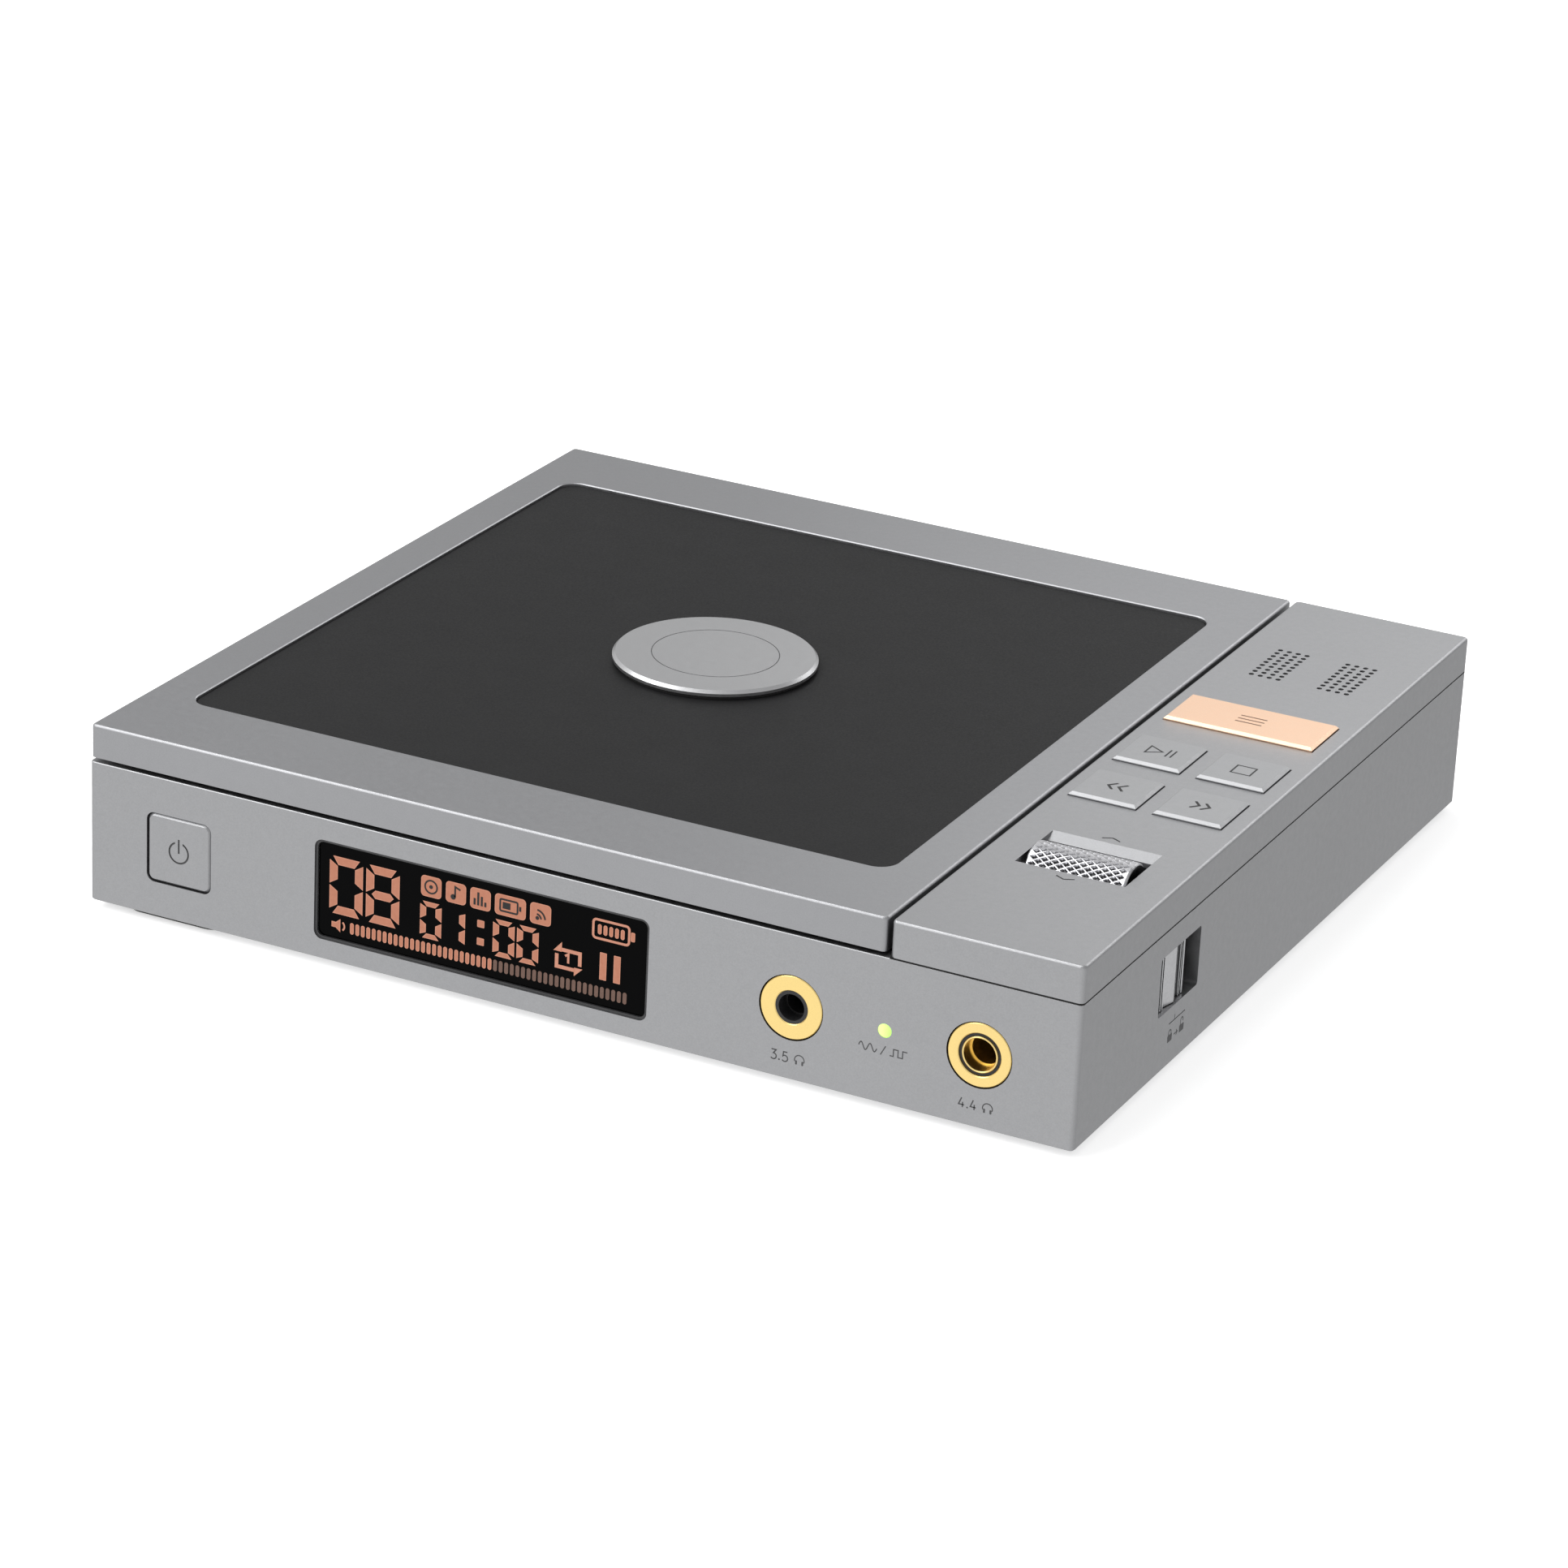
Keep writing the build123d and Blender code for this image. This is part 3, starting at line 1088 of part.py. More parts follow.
with BuildPart() as guide_rods:
    with BuildSketch(Plane.XZ.offset(-ROD_FRONT_Y)):
        with Locations(*[(x, ROD_Z) for x in ROD_XS]):
            Circle(ROD_R)
    extrude(amount=ROD_FRONT_Y - ROD_REAR_Y)
write(guide_rods, "guide_rods")

with BuildPart() as spindle_motor:
    with Locations((DISC_X, 0, 6.6)):
        Cylinder(11.0, CHASSIS_Z - 6.6, align=(Align.CENTER, Align.CENTER, Align.MIN))
    fillet(spindle_motor.edges().group_by(Axis.Z)[0], 0.8)
    with Locations((DISC_X, 0, CHASSIS_Z)):
        Cylinder(3.0, 3.0, align=(Align.CENTER, Align.CENTER, Align.MIN))
    with Locations((DISC_X, 0, 7.6)):
        Cylinder(
            SHAFT_R + FIT, 10.0, align=(Align.CENTER, Align.CENTER, Align.MIN), mode=Mode.SUBTRACT
        )
write(spindle_motor, "spindle_motor")

with BuildPart() as sled_motor:
    with BuildSketch(Plane.XZ.offset(-ROD_FRONT_Y)):
        with Locations((SCREW_X, SCREW_Z)):
            Circle(3.8)
    extrude(amount=11.0)
    fillet(sled_motor.edges().group_by(Axis.Y)[0], 0.5)
    with BuildSketch(Plane.XZ.offset(-ROD_FRONT_Y)):
        with Locations((SCREW_X, SCREW_Z)):
            Circle(SCREW_R + FIT)
    extrude(amount=4.0, mode=Mode.SUBTRACT)
write(sled_motor, "sled_motor")

with BuildPart() as lead_screw:
    with BuildSketch(Plane.XZ.offset(3.5 - ROD_FRONT_Y)):
        with Locations((SCREW_X, SCREW_Z)):
            Circle(SCREW_R)
    extrude(amount=-(ROD_REAR_Y + 3.4 - ROD_FRONT_Y))
write(lead_screw, "lead_screw")

with BuildPart() as spindle_shaft:
    with Locations((DISC_X, 0, 8.0)):
        Cylinder(SHAFT_R, PLATTER_TOP_Z + 0.8 - 8.0, align=(Align.CENTER, Align.CENTER, Align.MIN))
write(spindle_shaft, "spindle_shaft")

with BuildPart() as turntable:
    with BuildSketch(Plane.XZ):
        with BuildLine():
            Polyline(
                (DISC_X + SHAFT_R, PLATTER_Z - 1.6),
                (DISC_X + 4.0, PLATTER_Z - 1.6),
                (DISC_X + 4.0, PLATTER_Z),
                (DISC_X + PLATTER_R, PLATTER_Z),
                (DISC_X + PLATTER_R, PLATTER_TOP_Z),
                (DISC_X + HUB_R, PLATTER_TOP_Z),
                (DISC_X + HUB_R, HUB_TOP_Z - 0.7),
                (DISC_X + HUB_R - 0.9, HUB_TOP_Z),
                (DISC_X + 3.0, HUB_TOP_Z),
                (DISC_X + 2.2, PLATTER_TOP_Z + 0.8),
                (DISC_X + SHAFT_R, PLATTER_TOP_Z + 0.8),
                close=True,
            )
        make_face()
    revolve(axis=Axis((DISC_X, 0, 0), (0, 0, 1)))
    # Slots on both sides of each of the three sprung claws
    with BuildSketch(Plane.XY.offset(PLATTER_TOP_Z)):
        with Locations((DISC_X, 0)):
            with PolarLocations(6.0, 3):
                with Locations((0, 1.7), (0, -1.7)):
                    Rectangle(3.4, 0.35)
    extrude(amount=3.0, mode=Mode.SUBTRACT)
write(turntable, "turntable")

with BuildPart() as turntable_mat:
    with BuildSketch(Plane.XY.offset(PLATTER_TOP_Z)):
        with Locations((DISC_X, 0)):
            Circle(PLATTER_R - 0.5)
            Circle(HUB_R + 2.6, mode=Mode.SUBTRACT)
    extrude(amount=MAT_THICK)
write(turntable_mat, "turntable_mat")

SLED_LEFT_X = ROD_XS[0] - 1.9
SLED_RIGHT_X = ROD_XS[1] + 1.9
with BuildPart() as pickup_sled:
    with BuildSketch(Plane.XY.offset(CHASSIS_TOP_Z + 0.6)):
        with Locations(((SLED_LEFT_X + SLED_RIGHT_X) / 2, LENS_REST_R)):
            Rectangle(SLED_RIGHT_X - SLED_LEFT_X, 2 * SLED_HALF)
    extrude(amount=SLED_TOP_Z - CHASSIS_TOP_Z - 0.6)
    # Nut on the lead screw
    with BuildSketch(Plane.XY.offset(SCREW_Z - 2.2)):
        with Locations((SCREW_X + 0.2, LENS_REST_R)):
            Rectangle(5.4, 6.0)
    extrude(amount=SLED_TOP_Z - SCREW_Z + 2.2)
    with BuildSketch(Plane.XZ.offset(-LENS_REST_R - SLED_HALF)):
        with Locations(*[(x, ROD_Z) for x in ROD_XS]):
            Circle(ROD_R + FIT)
        with Locations((SCREW_X, SCREW_Z)):
            Circle(SCREW_R + FIT)
    extrude(amount=2 * SLED_HALF, mode=Mode.SUBTRACT)
    # Well for the lens actuator
    with BuildSketch(Plane.XY.offset(SLED_TOP_Z)):
        with Locations((DISC_X, LENS_REST_R)):
            Circle(2.6)
    extrude(amount=-1.2, mode=Mode.SUBTRACT)
write(pickup_sled, "pickup_sled")

with BuildPart() as laser_unit:
    with BuildSketch(Plane.XY.offset(CHASSIS_TOP_Z + 0.6)):
        with Locations((DISC_X, LENS_REST_R)):
            RectangleRounded(14.0, 11.0, 1.0)
    extrude(amount=-5.0)
write(laser_unit, "laser_unit")

with BuildPart() as lens_holder:
    with BuildSketch(Plane.XY.offset(18.0)):
        with Locations((DISC_X, LENS_REST_R)):
            RectangleRounded(13.0, 9.0, 1.2)
            Circle(2.2, mode=Mode.SUBTRACT)
    extrude(amount=1.0)
write(lens_holder, "lens_holder")

with BuildPart() as objective_lens:
    with BuildSketch(Plane.XY.offset(18.0)):
        with Locations((DISC_X, LENS_REST_R)):
            Circle(2.2)
    extrude(amount=1.3)
    fillet(objective_lens.faces().sort_by(Axis.Z)[-1].edges(), 0.55)
write(objective_lens, "objective_lens")
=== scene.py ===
"""Portable disc player: looks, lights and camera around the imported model."""

import json
import math

import bmesh
import bpy
from mathutils import Matrix, Vector


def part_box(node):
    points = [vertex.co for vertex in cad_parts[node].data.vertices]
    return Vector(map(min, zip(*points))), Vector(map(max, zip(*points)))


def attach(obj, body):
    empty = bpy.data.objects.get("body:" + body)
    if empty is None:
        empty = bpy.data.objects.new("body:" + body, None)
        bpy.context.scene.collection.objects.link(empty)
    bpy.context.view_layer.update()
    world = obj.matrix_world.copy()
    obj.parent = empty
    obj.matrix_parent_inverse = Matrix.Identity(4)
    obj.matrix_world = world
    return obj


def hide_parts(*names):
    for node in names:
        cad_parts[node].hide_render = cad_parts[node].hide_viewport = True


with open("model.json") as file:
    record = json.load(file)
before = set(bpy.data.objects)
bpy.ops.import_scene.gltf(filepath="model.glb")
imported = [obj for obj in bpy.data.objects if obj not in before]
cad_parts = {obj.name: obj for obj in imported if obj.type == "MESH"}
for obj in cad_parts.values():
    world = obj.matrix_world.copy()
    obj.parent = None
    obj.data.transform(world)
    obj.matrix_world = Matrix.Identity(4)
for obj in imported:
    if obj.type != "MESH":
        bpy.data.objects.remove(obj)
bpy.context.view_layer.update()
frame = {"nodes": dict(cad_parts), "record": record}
nodes = frame["nodes"]
scene = bpy.context.scene

MM = 0.001

# --------------------------------------------------------------------------
# Camera
# --------------------------------------------------------------------------

CAMERA_PLACE = (0.34408, -0.71789, 0.34231)
CAMERA_AZIMUTH = 25.757
CAMERA_ELEVATION = 22.555
CAMERA_ROLL = -2.765
CAMERA_LENS = 131.1
SENSOR_WIDTH = 36.0


def add_camera():
    azimuth = math.radians(CAMERA_AZIMUTH)
    elevation = math.radians(CAMERA_ELEVATION)
    roll = math.radians(CAMERA_ROLL)
    level_right = Vector((math.cos(azimuth), math.sin(azimuth), 0.0))
    forward = Vector((
        -math.sin(azimuth) * math.cos(elevation),
        math.cos(azimuth) * math.cos(elevation),
        -math.sin(elevation),
    ))
    level_up = level_right.cross(forward)
    right = level_right * math.cos(roll) - level_up * math.sin(roll)
    up = level_right * math.sin(roll) + level_up * math.cos(roll)
    data = bpy.data.cameras.new("camera")
    data.lens = CAMERA_LENS
    data.sensor_width = SENSOR_WIDTH
    data.clip_start = 0.05
    data.clip_end = 20.0
    camera = bpy.data.objects.new("camera", data)
    turn = Matrix((right, up, -forward)).transposed()
    camera.matrix_world = Matrix.Translation(CAMERA_PLACE) @ turn.to_4x4()
    scene.collection.objects.link(camera)
    scene.camera = camera


add_camera()

# --------------------------------------------------------------------------
# Material helpers
# --------------------------------------------------------------------------

# A groove's floor lies between these depths, and faces this squarely out.
GROOVE_SHALLOW = 0.00006
GROOVE_DEEP = 0.00018
GROOVE_LEVEL = 0.98

# Sockets of the colour mix node, whose names repeat for each data type.
MIX_FACTOR, MIX_FIRST, MIX_SECOND, MIX_RESULT = 0, 6, 7, 2

# Noise scales, in cycles per metre.
SPARKLE_SCALE = 5200.0
CLOUD_SCALE = 28.0
SMUDGE_SCALE = 900.0
SPECK_SCALE = 2400.0
GLOW_SCALE = 1600.0


class Paint:
    """A principled material whose nodes are added one call at a time."""

    def __init__(self, name, colour, roughness, metallic=0.0, **uniform):
        self.material = bpy.data.materials.new(name)
        self.material.use_nodes = True
        self.tree = self.material.node_tree
        self.shader = self.tree.nodes["Principled BSDF"]
        self.colour = colour
        self.roughness = roughness
        self.metallic = metallic
        self.set("Base Color", (*colour, 1.0))
        self.set("Roughness", roughness)
        self.set("Metallic", metallic)
        for socket, value in uniform.items():
            self.set(socket.replace("_", " "), value)
        self.place = self.node("ShaderNodeTexCoord").outputs["Object"]
        self.normal = None
        self.material.diffuse_color = (*colour, 1.0)

    def set(self, socket, value):
        self.shader.inputs[socket].default_value = value

    def node(self, kind, **inputs):
        made = self.tree.nodes.new(kind)
        for socket, value in inputs.items():
            made.inputs[socket.replace("_", " ")].default_value = value
        return made

    def link(self, output, target):
        self.tree.links.new(output, target)

    def noise(self, scale, detail=2.0, stretch=None):
        """Noise over the object's own coordinates, with a scale in cycles per metre."""
        made = self.node("ShaderNodeTexNoise", Scale=scale, Detail=detail)
        source = self.place
        if stretch:
            mapping = self.node("ShaderNodeMapping")
            mapping.inputs["Scale"].default_value = stretch
            self.link(source, mapping.inputs["Vector"])
            source = mapping.outputs["Vector"]
        self.link(source, made.inputs["Vector"])
        return made.outputs["Fac"]

    def spread(self, value, low, high, start=0.3, end=0.7):
        """Maps a 0..1 pattern onto low..high."""
        made = self.node("ShaderNodeMapRange")
        made.inputs["From Min"].default_value = start
        made.inputs["From Max"].default_value = end
        made.inputs["To Min"].default_value = low
        made.inputs["To Max"].default_value = high
        self.link(value, made.inputs["Value"])
        return made.outputs["Result"]

    def math(self, operation, first, second=None):
        made = self.tree.nodes.new("ShaderNodeMath")
        made.operation = operation
        for socket, value in zip(made.inputs, (first, second)):
            if value is None:
                continue
            if isinstance(value, (int, float)):
                socket.default_value = value
            else:
                self.link(value, socket)
        return made.outputs["Value"]

    def axis(self, name):
        """One of the object's coordinates, X, Y or Z, in metres."""
        made = self.node("ShaderNodeSeparateXYZ")
        self.link(self.place, made.inputs["Vector"])
        return made.outputs[name]

    def mix(self, factor, first, second):
        """Blends first into second by a 0..1 pattern. Each is a colour or an output."""
        made = self.tree.nodes.new("ShaderNodeMix")
        made.data_type = "RGBA"
        for socket, value in ((MIX_FIRST, first), (MIX_SECOND, second)):
            if isinstance(value, bpy.types.NodeSocket):
                self.link(value, made.inputs[socket])
            else:
                made.inputs[socket].default_value = (*value, 1.0)
        self.link(factor, made.inputs[MIX_FACTOR])
        return made.outputs[MIX_RESULT]

    def tint(self, value, first, second):
        """Colours the surface from first to second with a 0..1 pattern."""
        self.link(self.mix(value, first, second), self.shader.inputs["Base Color"])

    def vary(self, value, share):
        """Lightens and darkens the base colour by a share either way."""
        low = [c * (1 - share) for c in self.colour]
        high = [min(1.0, c * (1 + share)) for c in self.colour]
        self.tint(self.spread(value, 0.0, 1.0), low, high)

    def rough(self, value, share):
        """Raises and lowers the roughness by a share either way."""
        low, high = self.roughness * (1 - share), min(1.0, self.roughness * (1 + share))
        self.link(self.spread(value, low, high), self.shader.inputs["Roughness"])

    def engrave(self, axis, side, face, colour):
        """Darkens the floors of grooves cut into a flat face, which looks along side * axis."""
        depth = self.math("MULTIPLY", self.math("SUBTRACT", face, self.axis(axis)), side)
        facing = self.node("ShaderNodeSeparateXYZ")
        self.link(self.place.node.outputs["Normal"], facing.inputs["Vector"])
        level = self.math("MULTIPLY", facing.outputs[axis], side)
        sunk = self.math("GREATER_THAN", depth, GROOVE_SHALLOW)
        near = self.math("LESS_THAN", depth, GROOVE_DEEP)
        flat = self.math("GREATER_THAN", level, GROOVE_LEVEL)
        groove = self.math("MULTIPLY", self.math("MULTIPLY", sunk, near), flat)
        below = self.shader.inputs["Base Color"].links[0].from_socket
        self.tint(groove, below, colour)
        plain = self.math("SUBTRACT", 1.0, groove)
        self.link(self.math("MULTIPLY", plain, self.metallic), self.shader.inputs["Metallic"])

    def darken(self, share, colour):
        """Mixes a second colour over the base colour by a 0..1 pattern."""
        below = self.shader.inputs["Base Color"].links[0].from_socket
        self.tint(share, below, colour)

    def bump(self, value, height, strength=1.0):
        """Raises the surface by a pattern, height in metres."""
        made = self.node("ShaderNodeBump", Strength=strength, Distance=height)
        self.link(value, made.inputs["Height"])
        if self.normal:
            self.link(self.normal, made.inputs["Normal"])
        self.normal = made.outputs["Normal"]
        self.link(self.normal, self.shader.inputs["Normal"])


SPARKLE_SHARE = 0.75
SPARKLE_DEPTH = 0.000004


def blasted(name, colour, roughness=0.42, grain=0.05, engraved=None):
    """Bead-blasted and anodised metal: fine sparkle over slow clouds of tone."""
    paint = Paint(name, colour, roughness, 1.0)
    sparkle = paint.noise(SPARKLE_SCALE, 1.0)
    clouds = paint.noise(CLOUD_SCALE, 3.0)
    mixed = paint.math(
        "ADD",
        paint.math("MULTIPLY", sparkle, SPARKLE_SHARE),
        paint.math("MULTIPLY", clouds, 1.0 - SPARKLE_SHARE),
    )
    paint.vary(mixed, grain)
    if engraved:
        paint.engrave(*engraved)
    paint.rough(paint.noise(SMUDGE_SCALE, 2.0), 0.08)
    paint.bump(sparkle, SPARKLE_DEPTH)
    return paint.material


def moulded(
    name, colour, roughness=0.5, grain=0.12, depth=0.00001, scale=2600.0, **uniform,
):
    """Moulded plastic or rubber with a fine eroded texture."""
    paint = Paint(name, colour, roughness, **uniform)
    texture = paint.noise(scale, 3.0)
    paint.vary(paint.noise(160.0, 3.0), grain)
    paint.rough(texture, 0.15)
    paint.bump(texture, depth)
    return paint.material


def machined(name, colour, roughness=0.28, stretch=(1.0, 14.0, 14.0), grain=0.09):
    """Turned or rolled metal with fine lines along one axis."""
    paint = Paint(name, colour, roughness, 1.0)
    lines = paint.noise(SMUDGE_SCALE, 2.0, stretch)
    paint.vary(lines, grain)
    paint.rough(lines, 2.5 * grain)
    paint.bump(lines, 0.000003)
    return paint.material


def knurled_metal(name, colour, roughness, axis_y, axis_z, valley_radius, tip_radius):
    """Bright turned metal with painted shade in its cuts, darker at the valley floor than at the
    tips.
    """
    paint = Paint(name, colour, roughness, 1.0)
    paint.vary(paint.noise(SPECK_SCALE, 2.0), 0.06)
    off_y = paint.math("SUBTRACT", paint.axis("Y"), axis_y)
    off_z = paint.math("SUBTRACT", paint.axis("Z"), axis_z)
    square_y = paint.math("MULTIPLY", off_y, off_y)
    square_z = paint.math("MULTIPLY", off_z, off_z)
    radius = paint.math("SQRT", paint.math("ADD", square_y, square_z))
    # Painted shade: the cuts darken from the tips down to the valley floor.
    shadow = paint.spread(radius, 0.94, 0.0, valley_radius, tip_radius)
    paint.darken(shadow, (0.03, 0.03, 0.032))
    paint.rough(paint.noise(SMUDGE_SCALE, 2.0), 0.2)
    return paint.material


def ribbed_metal(name, colour, roughness):
    """Satin metal with painted shade on its rib flanks, the faces that don't look along X."""
    paint = Paint(name, colour, roughness, 1.0)
    paint.vary(paint.noise(SPECK_SCALE, 2.0), 0.05)
    facing = paint.node("ShaderNodeSeparateXYZ")
    paint.link(paint.place.node.outputs["Normal"], facing.inputs["Vector"])
    # Painted shade: faces that turn away from X are darkened.
    shadow = paint.spread(facing.outputs["X"], 0.9, 0.0, 0.35, 0.8)
    paint.darken(shadow, (0.04, 0.04, 0.042))
    paint.rough(paint.noise(SMUDGE_SCALE, 2.0), 0.15)
    return paint.material


def circuit_board(name):
    """Green solder resist over a grid of copper tracks."""
    paint = Paint(name, (0.012, 0.075, 0.035), 0.35, Coat_Weight=0.3)
    cells = paint.node("ShaderNodeTexBrick", Scale=420.0, Mortar_Size=0.035)
    cells.inputs["Color1"].default_value = (0.0, 0.0, 0.0, 1.0)
    cells.inputs["Color2"].default_value = (0.25, 0.25, 0.25, 1.0)
    cells.inputs["Mortar"].default_value = (1.0, 1.0, 1.0, 1.0)
    paint.link(paint.place, cells.inputs["Vector"])
    tracks = cells.outputs["Color"]
    paint.tint(tracks, (0.010, 0.062, 0.028), (0.035, 0.17, 0.075))
    paint.bump(tracks, 0.00002, 0.6)
    return paint.material


ALUMINIUM = (0.385, 0.388, 0.398)

INK = (0.05, 0.05, 0.052)
EMBLEM_INK = (0.10, 0.10, 0.104)
COPPER_INK = (0.20, 0.09, 0.05)
FRONT_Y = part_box("base_shell")[0].y
KEY_TOP_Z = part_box("play_button")[1].z
COVER_TOP_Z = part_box("control_cover")[1].z
EMBLEM_TOP_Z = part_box("lid_emblem")[1].z
SIDE_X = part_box("base_shell")[1].x

satin_case = blasted("satin_case", ALUMINIUM)
satin_lid = blasted("satin_lid", (0.365, 0.368, 0.380))
satin_cover = blasted("satin_cover", ALUMINIUM, engraved=("Z", 1.0, COVER_TOP_Z, INK))
satin_body = blasted("satin_body", ALUMINIUM, engraved=("X", 1.0, SIDE_X, INK))
satin_power = blasted("satin_power", ALUMINIUM, engraved=("Y", -1.0, FRONT_Y, INK))
satin_key = blasted(
    "satin_key", (0.405, 0.409, 0.418), 0.38, 0.04, engraved=("Z", 1.0, KEY_TOP_Z, INK),
)
emblem_metal = blasted(
    "emblem_metal", (0.53, 0.533, 0.542), 0.34, 0.03,
    engraved=("Z", 1.0, EMBLEM_TOP_Z, EMBLEM_INK),
)
knob_metal = ribbed_metal("knob_metal", (0.62, 0.623, 0.635), 0.36)
copper_key = blasted(
    "copper_key", (0.95, 0.66, 0.47), 0.36, 0.03, engraved=("Z", 1.0, KEY_TOP_Z, COPPER_INK),
)
gold = machined("gold", (0.97, 0.73, 0.29), 0.30, (6.0, 1.0, 6.0), 0.025)
steel = machined("steel", (0.56, 0.56, 0.57), 0.30)
steel_wheel = machined("steel_wheel", (0.80, 0.80, 0.83), 0.30)
nickel = machined("nickel", (0.68, 0.67, 0.64), 0.18)
window = moulded("window", (0.018, 0.018, 0.0185), 0.42, 0.05, 0.000002, 4000.0, IOR=1.14)
black_glass = Paint("black_glass", (0.0008, 0.0008, 0.0009), 0.12, IOR=1.12)
black_glass.rough(black_glass.noise(60.0, 2.0), 0.2)
black_glass = black_glass.material
black_plastic = moulded("black_plastic", (0.014, 0.014, 0.015), 0.5)
deck_plastic = moulded("deck_plastic", (0.022, 0.022, 0.024), 0.48, 0.1, 0.00002, 1800.0)
dark_trim = moulded("dark_trim", (0.03, 0.03, 0.032), 0.4)
white_plastic = moulded("white_plastic", (0.62, 0.62, 0.59), 0.42)
hub_plastic = moulded("hub_plastic", (0.10, 0.10, 0.105), 0.4)
rubber = moulded("rubber", (0.012, 0.012, 0.012), 0.8, 0.2, 0.00002, 1200.0)
chip = moulded("chip", (0.018, 0.018, 0.019), 0.55)
battery_wrap = moulded("battery_wrap", (0.035, 0.09, 0.22), 0.3, 0.2, 0.00003, 300.0)
board = circuit_board("board")
mesh_cloth = Paint("mesh_cloth", (0.012, 0.012, 0.013), 0.7)
weave = mesh_cloth.node("ShaderNodeTexVoronoi", Scale=3000.0)
mesh_cloth.link(mesh_cloth.place, weave.inputs["Vector"])
mesh_cloth.tint(weave.outputs["Distance"], (0.004, 0.004, 0.004), (0.03, 0.03, 0.032))
mesh_cloth.bump(weave.outputs["Distance"], 0.00005)
mesh_cloth = mesh_cloth.material
lens_glass = Paint("lens_glass", (0.10, 0.16, 0.42), 0.04, Coat_Weight=1.0)
lens_glass.vary(lens_glass.noise(700.0, 1.0), 0.4)
lens_glass = lens_glass.material
mark_ink = moulded("mark_ink", (0.055, 0.055, 0.057), 0.6, 0.25, 0.000003)


def glowing(name, first, second):
    """A lit surface whose colour drifts from first to second."""
    paint = Paint(name, (0.05, 0.03, 0.02), 0.5)
    drift = paint.spread(paint.noise(GLOW_SCALE, 2.0), 0.0, 1.0)
    paint.link(paint.mix(drift, first, second), paint.shader.inputs["Emission Color"])
    paint.set("Emission Strength", 1.0)
    return paint.material


segment_core = glowing("segment_core", (0.43, 0.145, 0.078), (0.47, 0.17, 0.095))
segment_edge = glowing("segment_edge", (0.50, 0.20, 0.125), (0.56, 0.24, 0.155))
segment_dim = glowing("segment_dim", (0.075, 0.035, 0.025), (0.095, 0.046, 0.034))
segment_off = moulded("segment_off", (0.002, 0.002, 0.002), 0.3, 0.1, 0.000001)

lamp = Paint("indicator_glow", (0.3, 0.6, 0.1), 0.2)
LAMP_X = (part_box("indicator_lens")[0].x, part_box("indicator_lens")[1].x)
LAMP_PALE, LAMP_GREEN = (0.85, 0.95, 0.42), (0.18, 0.62, 0.02)
lamp_glow = lamp.mix(lamp.spread(lamp.axis("X"), 0.0, 1.0, *LAMP_X), LAMP_PALE, LAMP_GREEN)
lamp.link(lamp_glow, lamp.shader.inputs["Emission Color"])
lamp.set("Emission Strength", 1.0)
indicator_glow = lamp.material

NODE_LOOKS = {
    satin_body: ["base_shell"],
    satin_cover: ["control_cover"],
    satin_power: ["power_button"],
    satin_case: ["bottom_plate", "hinge_brackets"],
    knob_metal: ["hold_knob"],
    satin_key: ["play_button", "stop_button", "previous_button", "next_button"],
    satin_lid: ["lid_frame"],
    copper_key: ["menu_button"],
    emblem_metal: ["lid_emblem"],
    steel_wheel: ["volume_wheel"],
    gold: ["jack_35_ring", "jack_44_ring", "jack_44_sleeve"],
    steel: [
        "case_screws", "tact_switches", "wheel_axle", "hold_switch_body", "small_screws",
        "hinge_pins", "mechanism_chassis", "damper_screws", "guide_rods", "spindle_motor",
        "sled_motor", "lead_screw", "spindle_shaft", "laser_unit", "usb_port",
    ],
    nickel: ["deck_magnets", "lid_magnets"],
    window: ["lid_window"],
    black_glass: ["display_glass"],
    black_plastic: [
        "wheel_bracket", "wheel_encoder", "jack_35_body", "jack_44_body", "lid_liner",
        "lens_holder",
    ],
    deck_plastic: ["disc_deck"],
    dark_trim: ["display_bezel", "pickup_sled"],
    white_plastic: ["display_panel"],
    hub_plastic: ["turntable"],
    rubber: ["rubber_feet", "emblem_gasket", "chassis_dampers", "turntable_mat"],
    chip: ["board_chips"],
    battery_wrap: ["battery_pack"],
    board: ["main_board", "power_board", "button_board"],
    mesh_cloth: ["vent_mesh"],
    lens_glass: ["objective_lens"],
    indicator_glow: ["indicator_lens"],
}
for look, names in NODE_LOOKS.items():
    for name in names:
        nodes[name].data.materials.clear()
        nodes[name].data.materials.append(look)

# --------------------------------------------------------------------------
# Mesh helpers
# --------------------------------------------------------------------------


def mesh_piece(name, vertices, faces, look, body, smooth=False):
    """A mesh in the row frame that rides on a body."""
    data = bpy.data.meshes.new(name)
    data.from_pydata([tuple(v) for v in vertices], [], faces)
    work = bmesh.new()
    work.from_mesh(data)
    bmesh.ops.recalc_face_normals(work, faces=work.faces)
    work.to_mesh(data)
    work.free()
    data.validate()
    for face in data.polygons:
        face.use_smooth = smooth
    piece = bpy.data.objects.new(name, data)
    data.materials.append(look)
    scene.collection.objects.link(piece)
    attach(piece, body)
    return piece


def slab(outline, bottom, thickness, to_space):
    """Vertices and faces of a flat plate. The outline is in mm, placed by to_space."""
    count = len(outline)
    vertices = [to_space(u, v, bottom) for u, v in outline]
    vertices += [to_space(u, v, bottom + thickness) for u, v in outline]
    faces = [list(range(count)), list(range(count, 2 * count))]
    faces += [[i, (i + 1) % count, count + (i + 1) % count, count + i] for i in range(count)]
    return vertices, faces


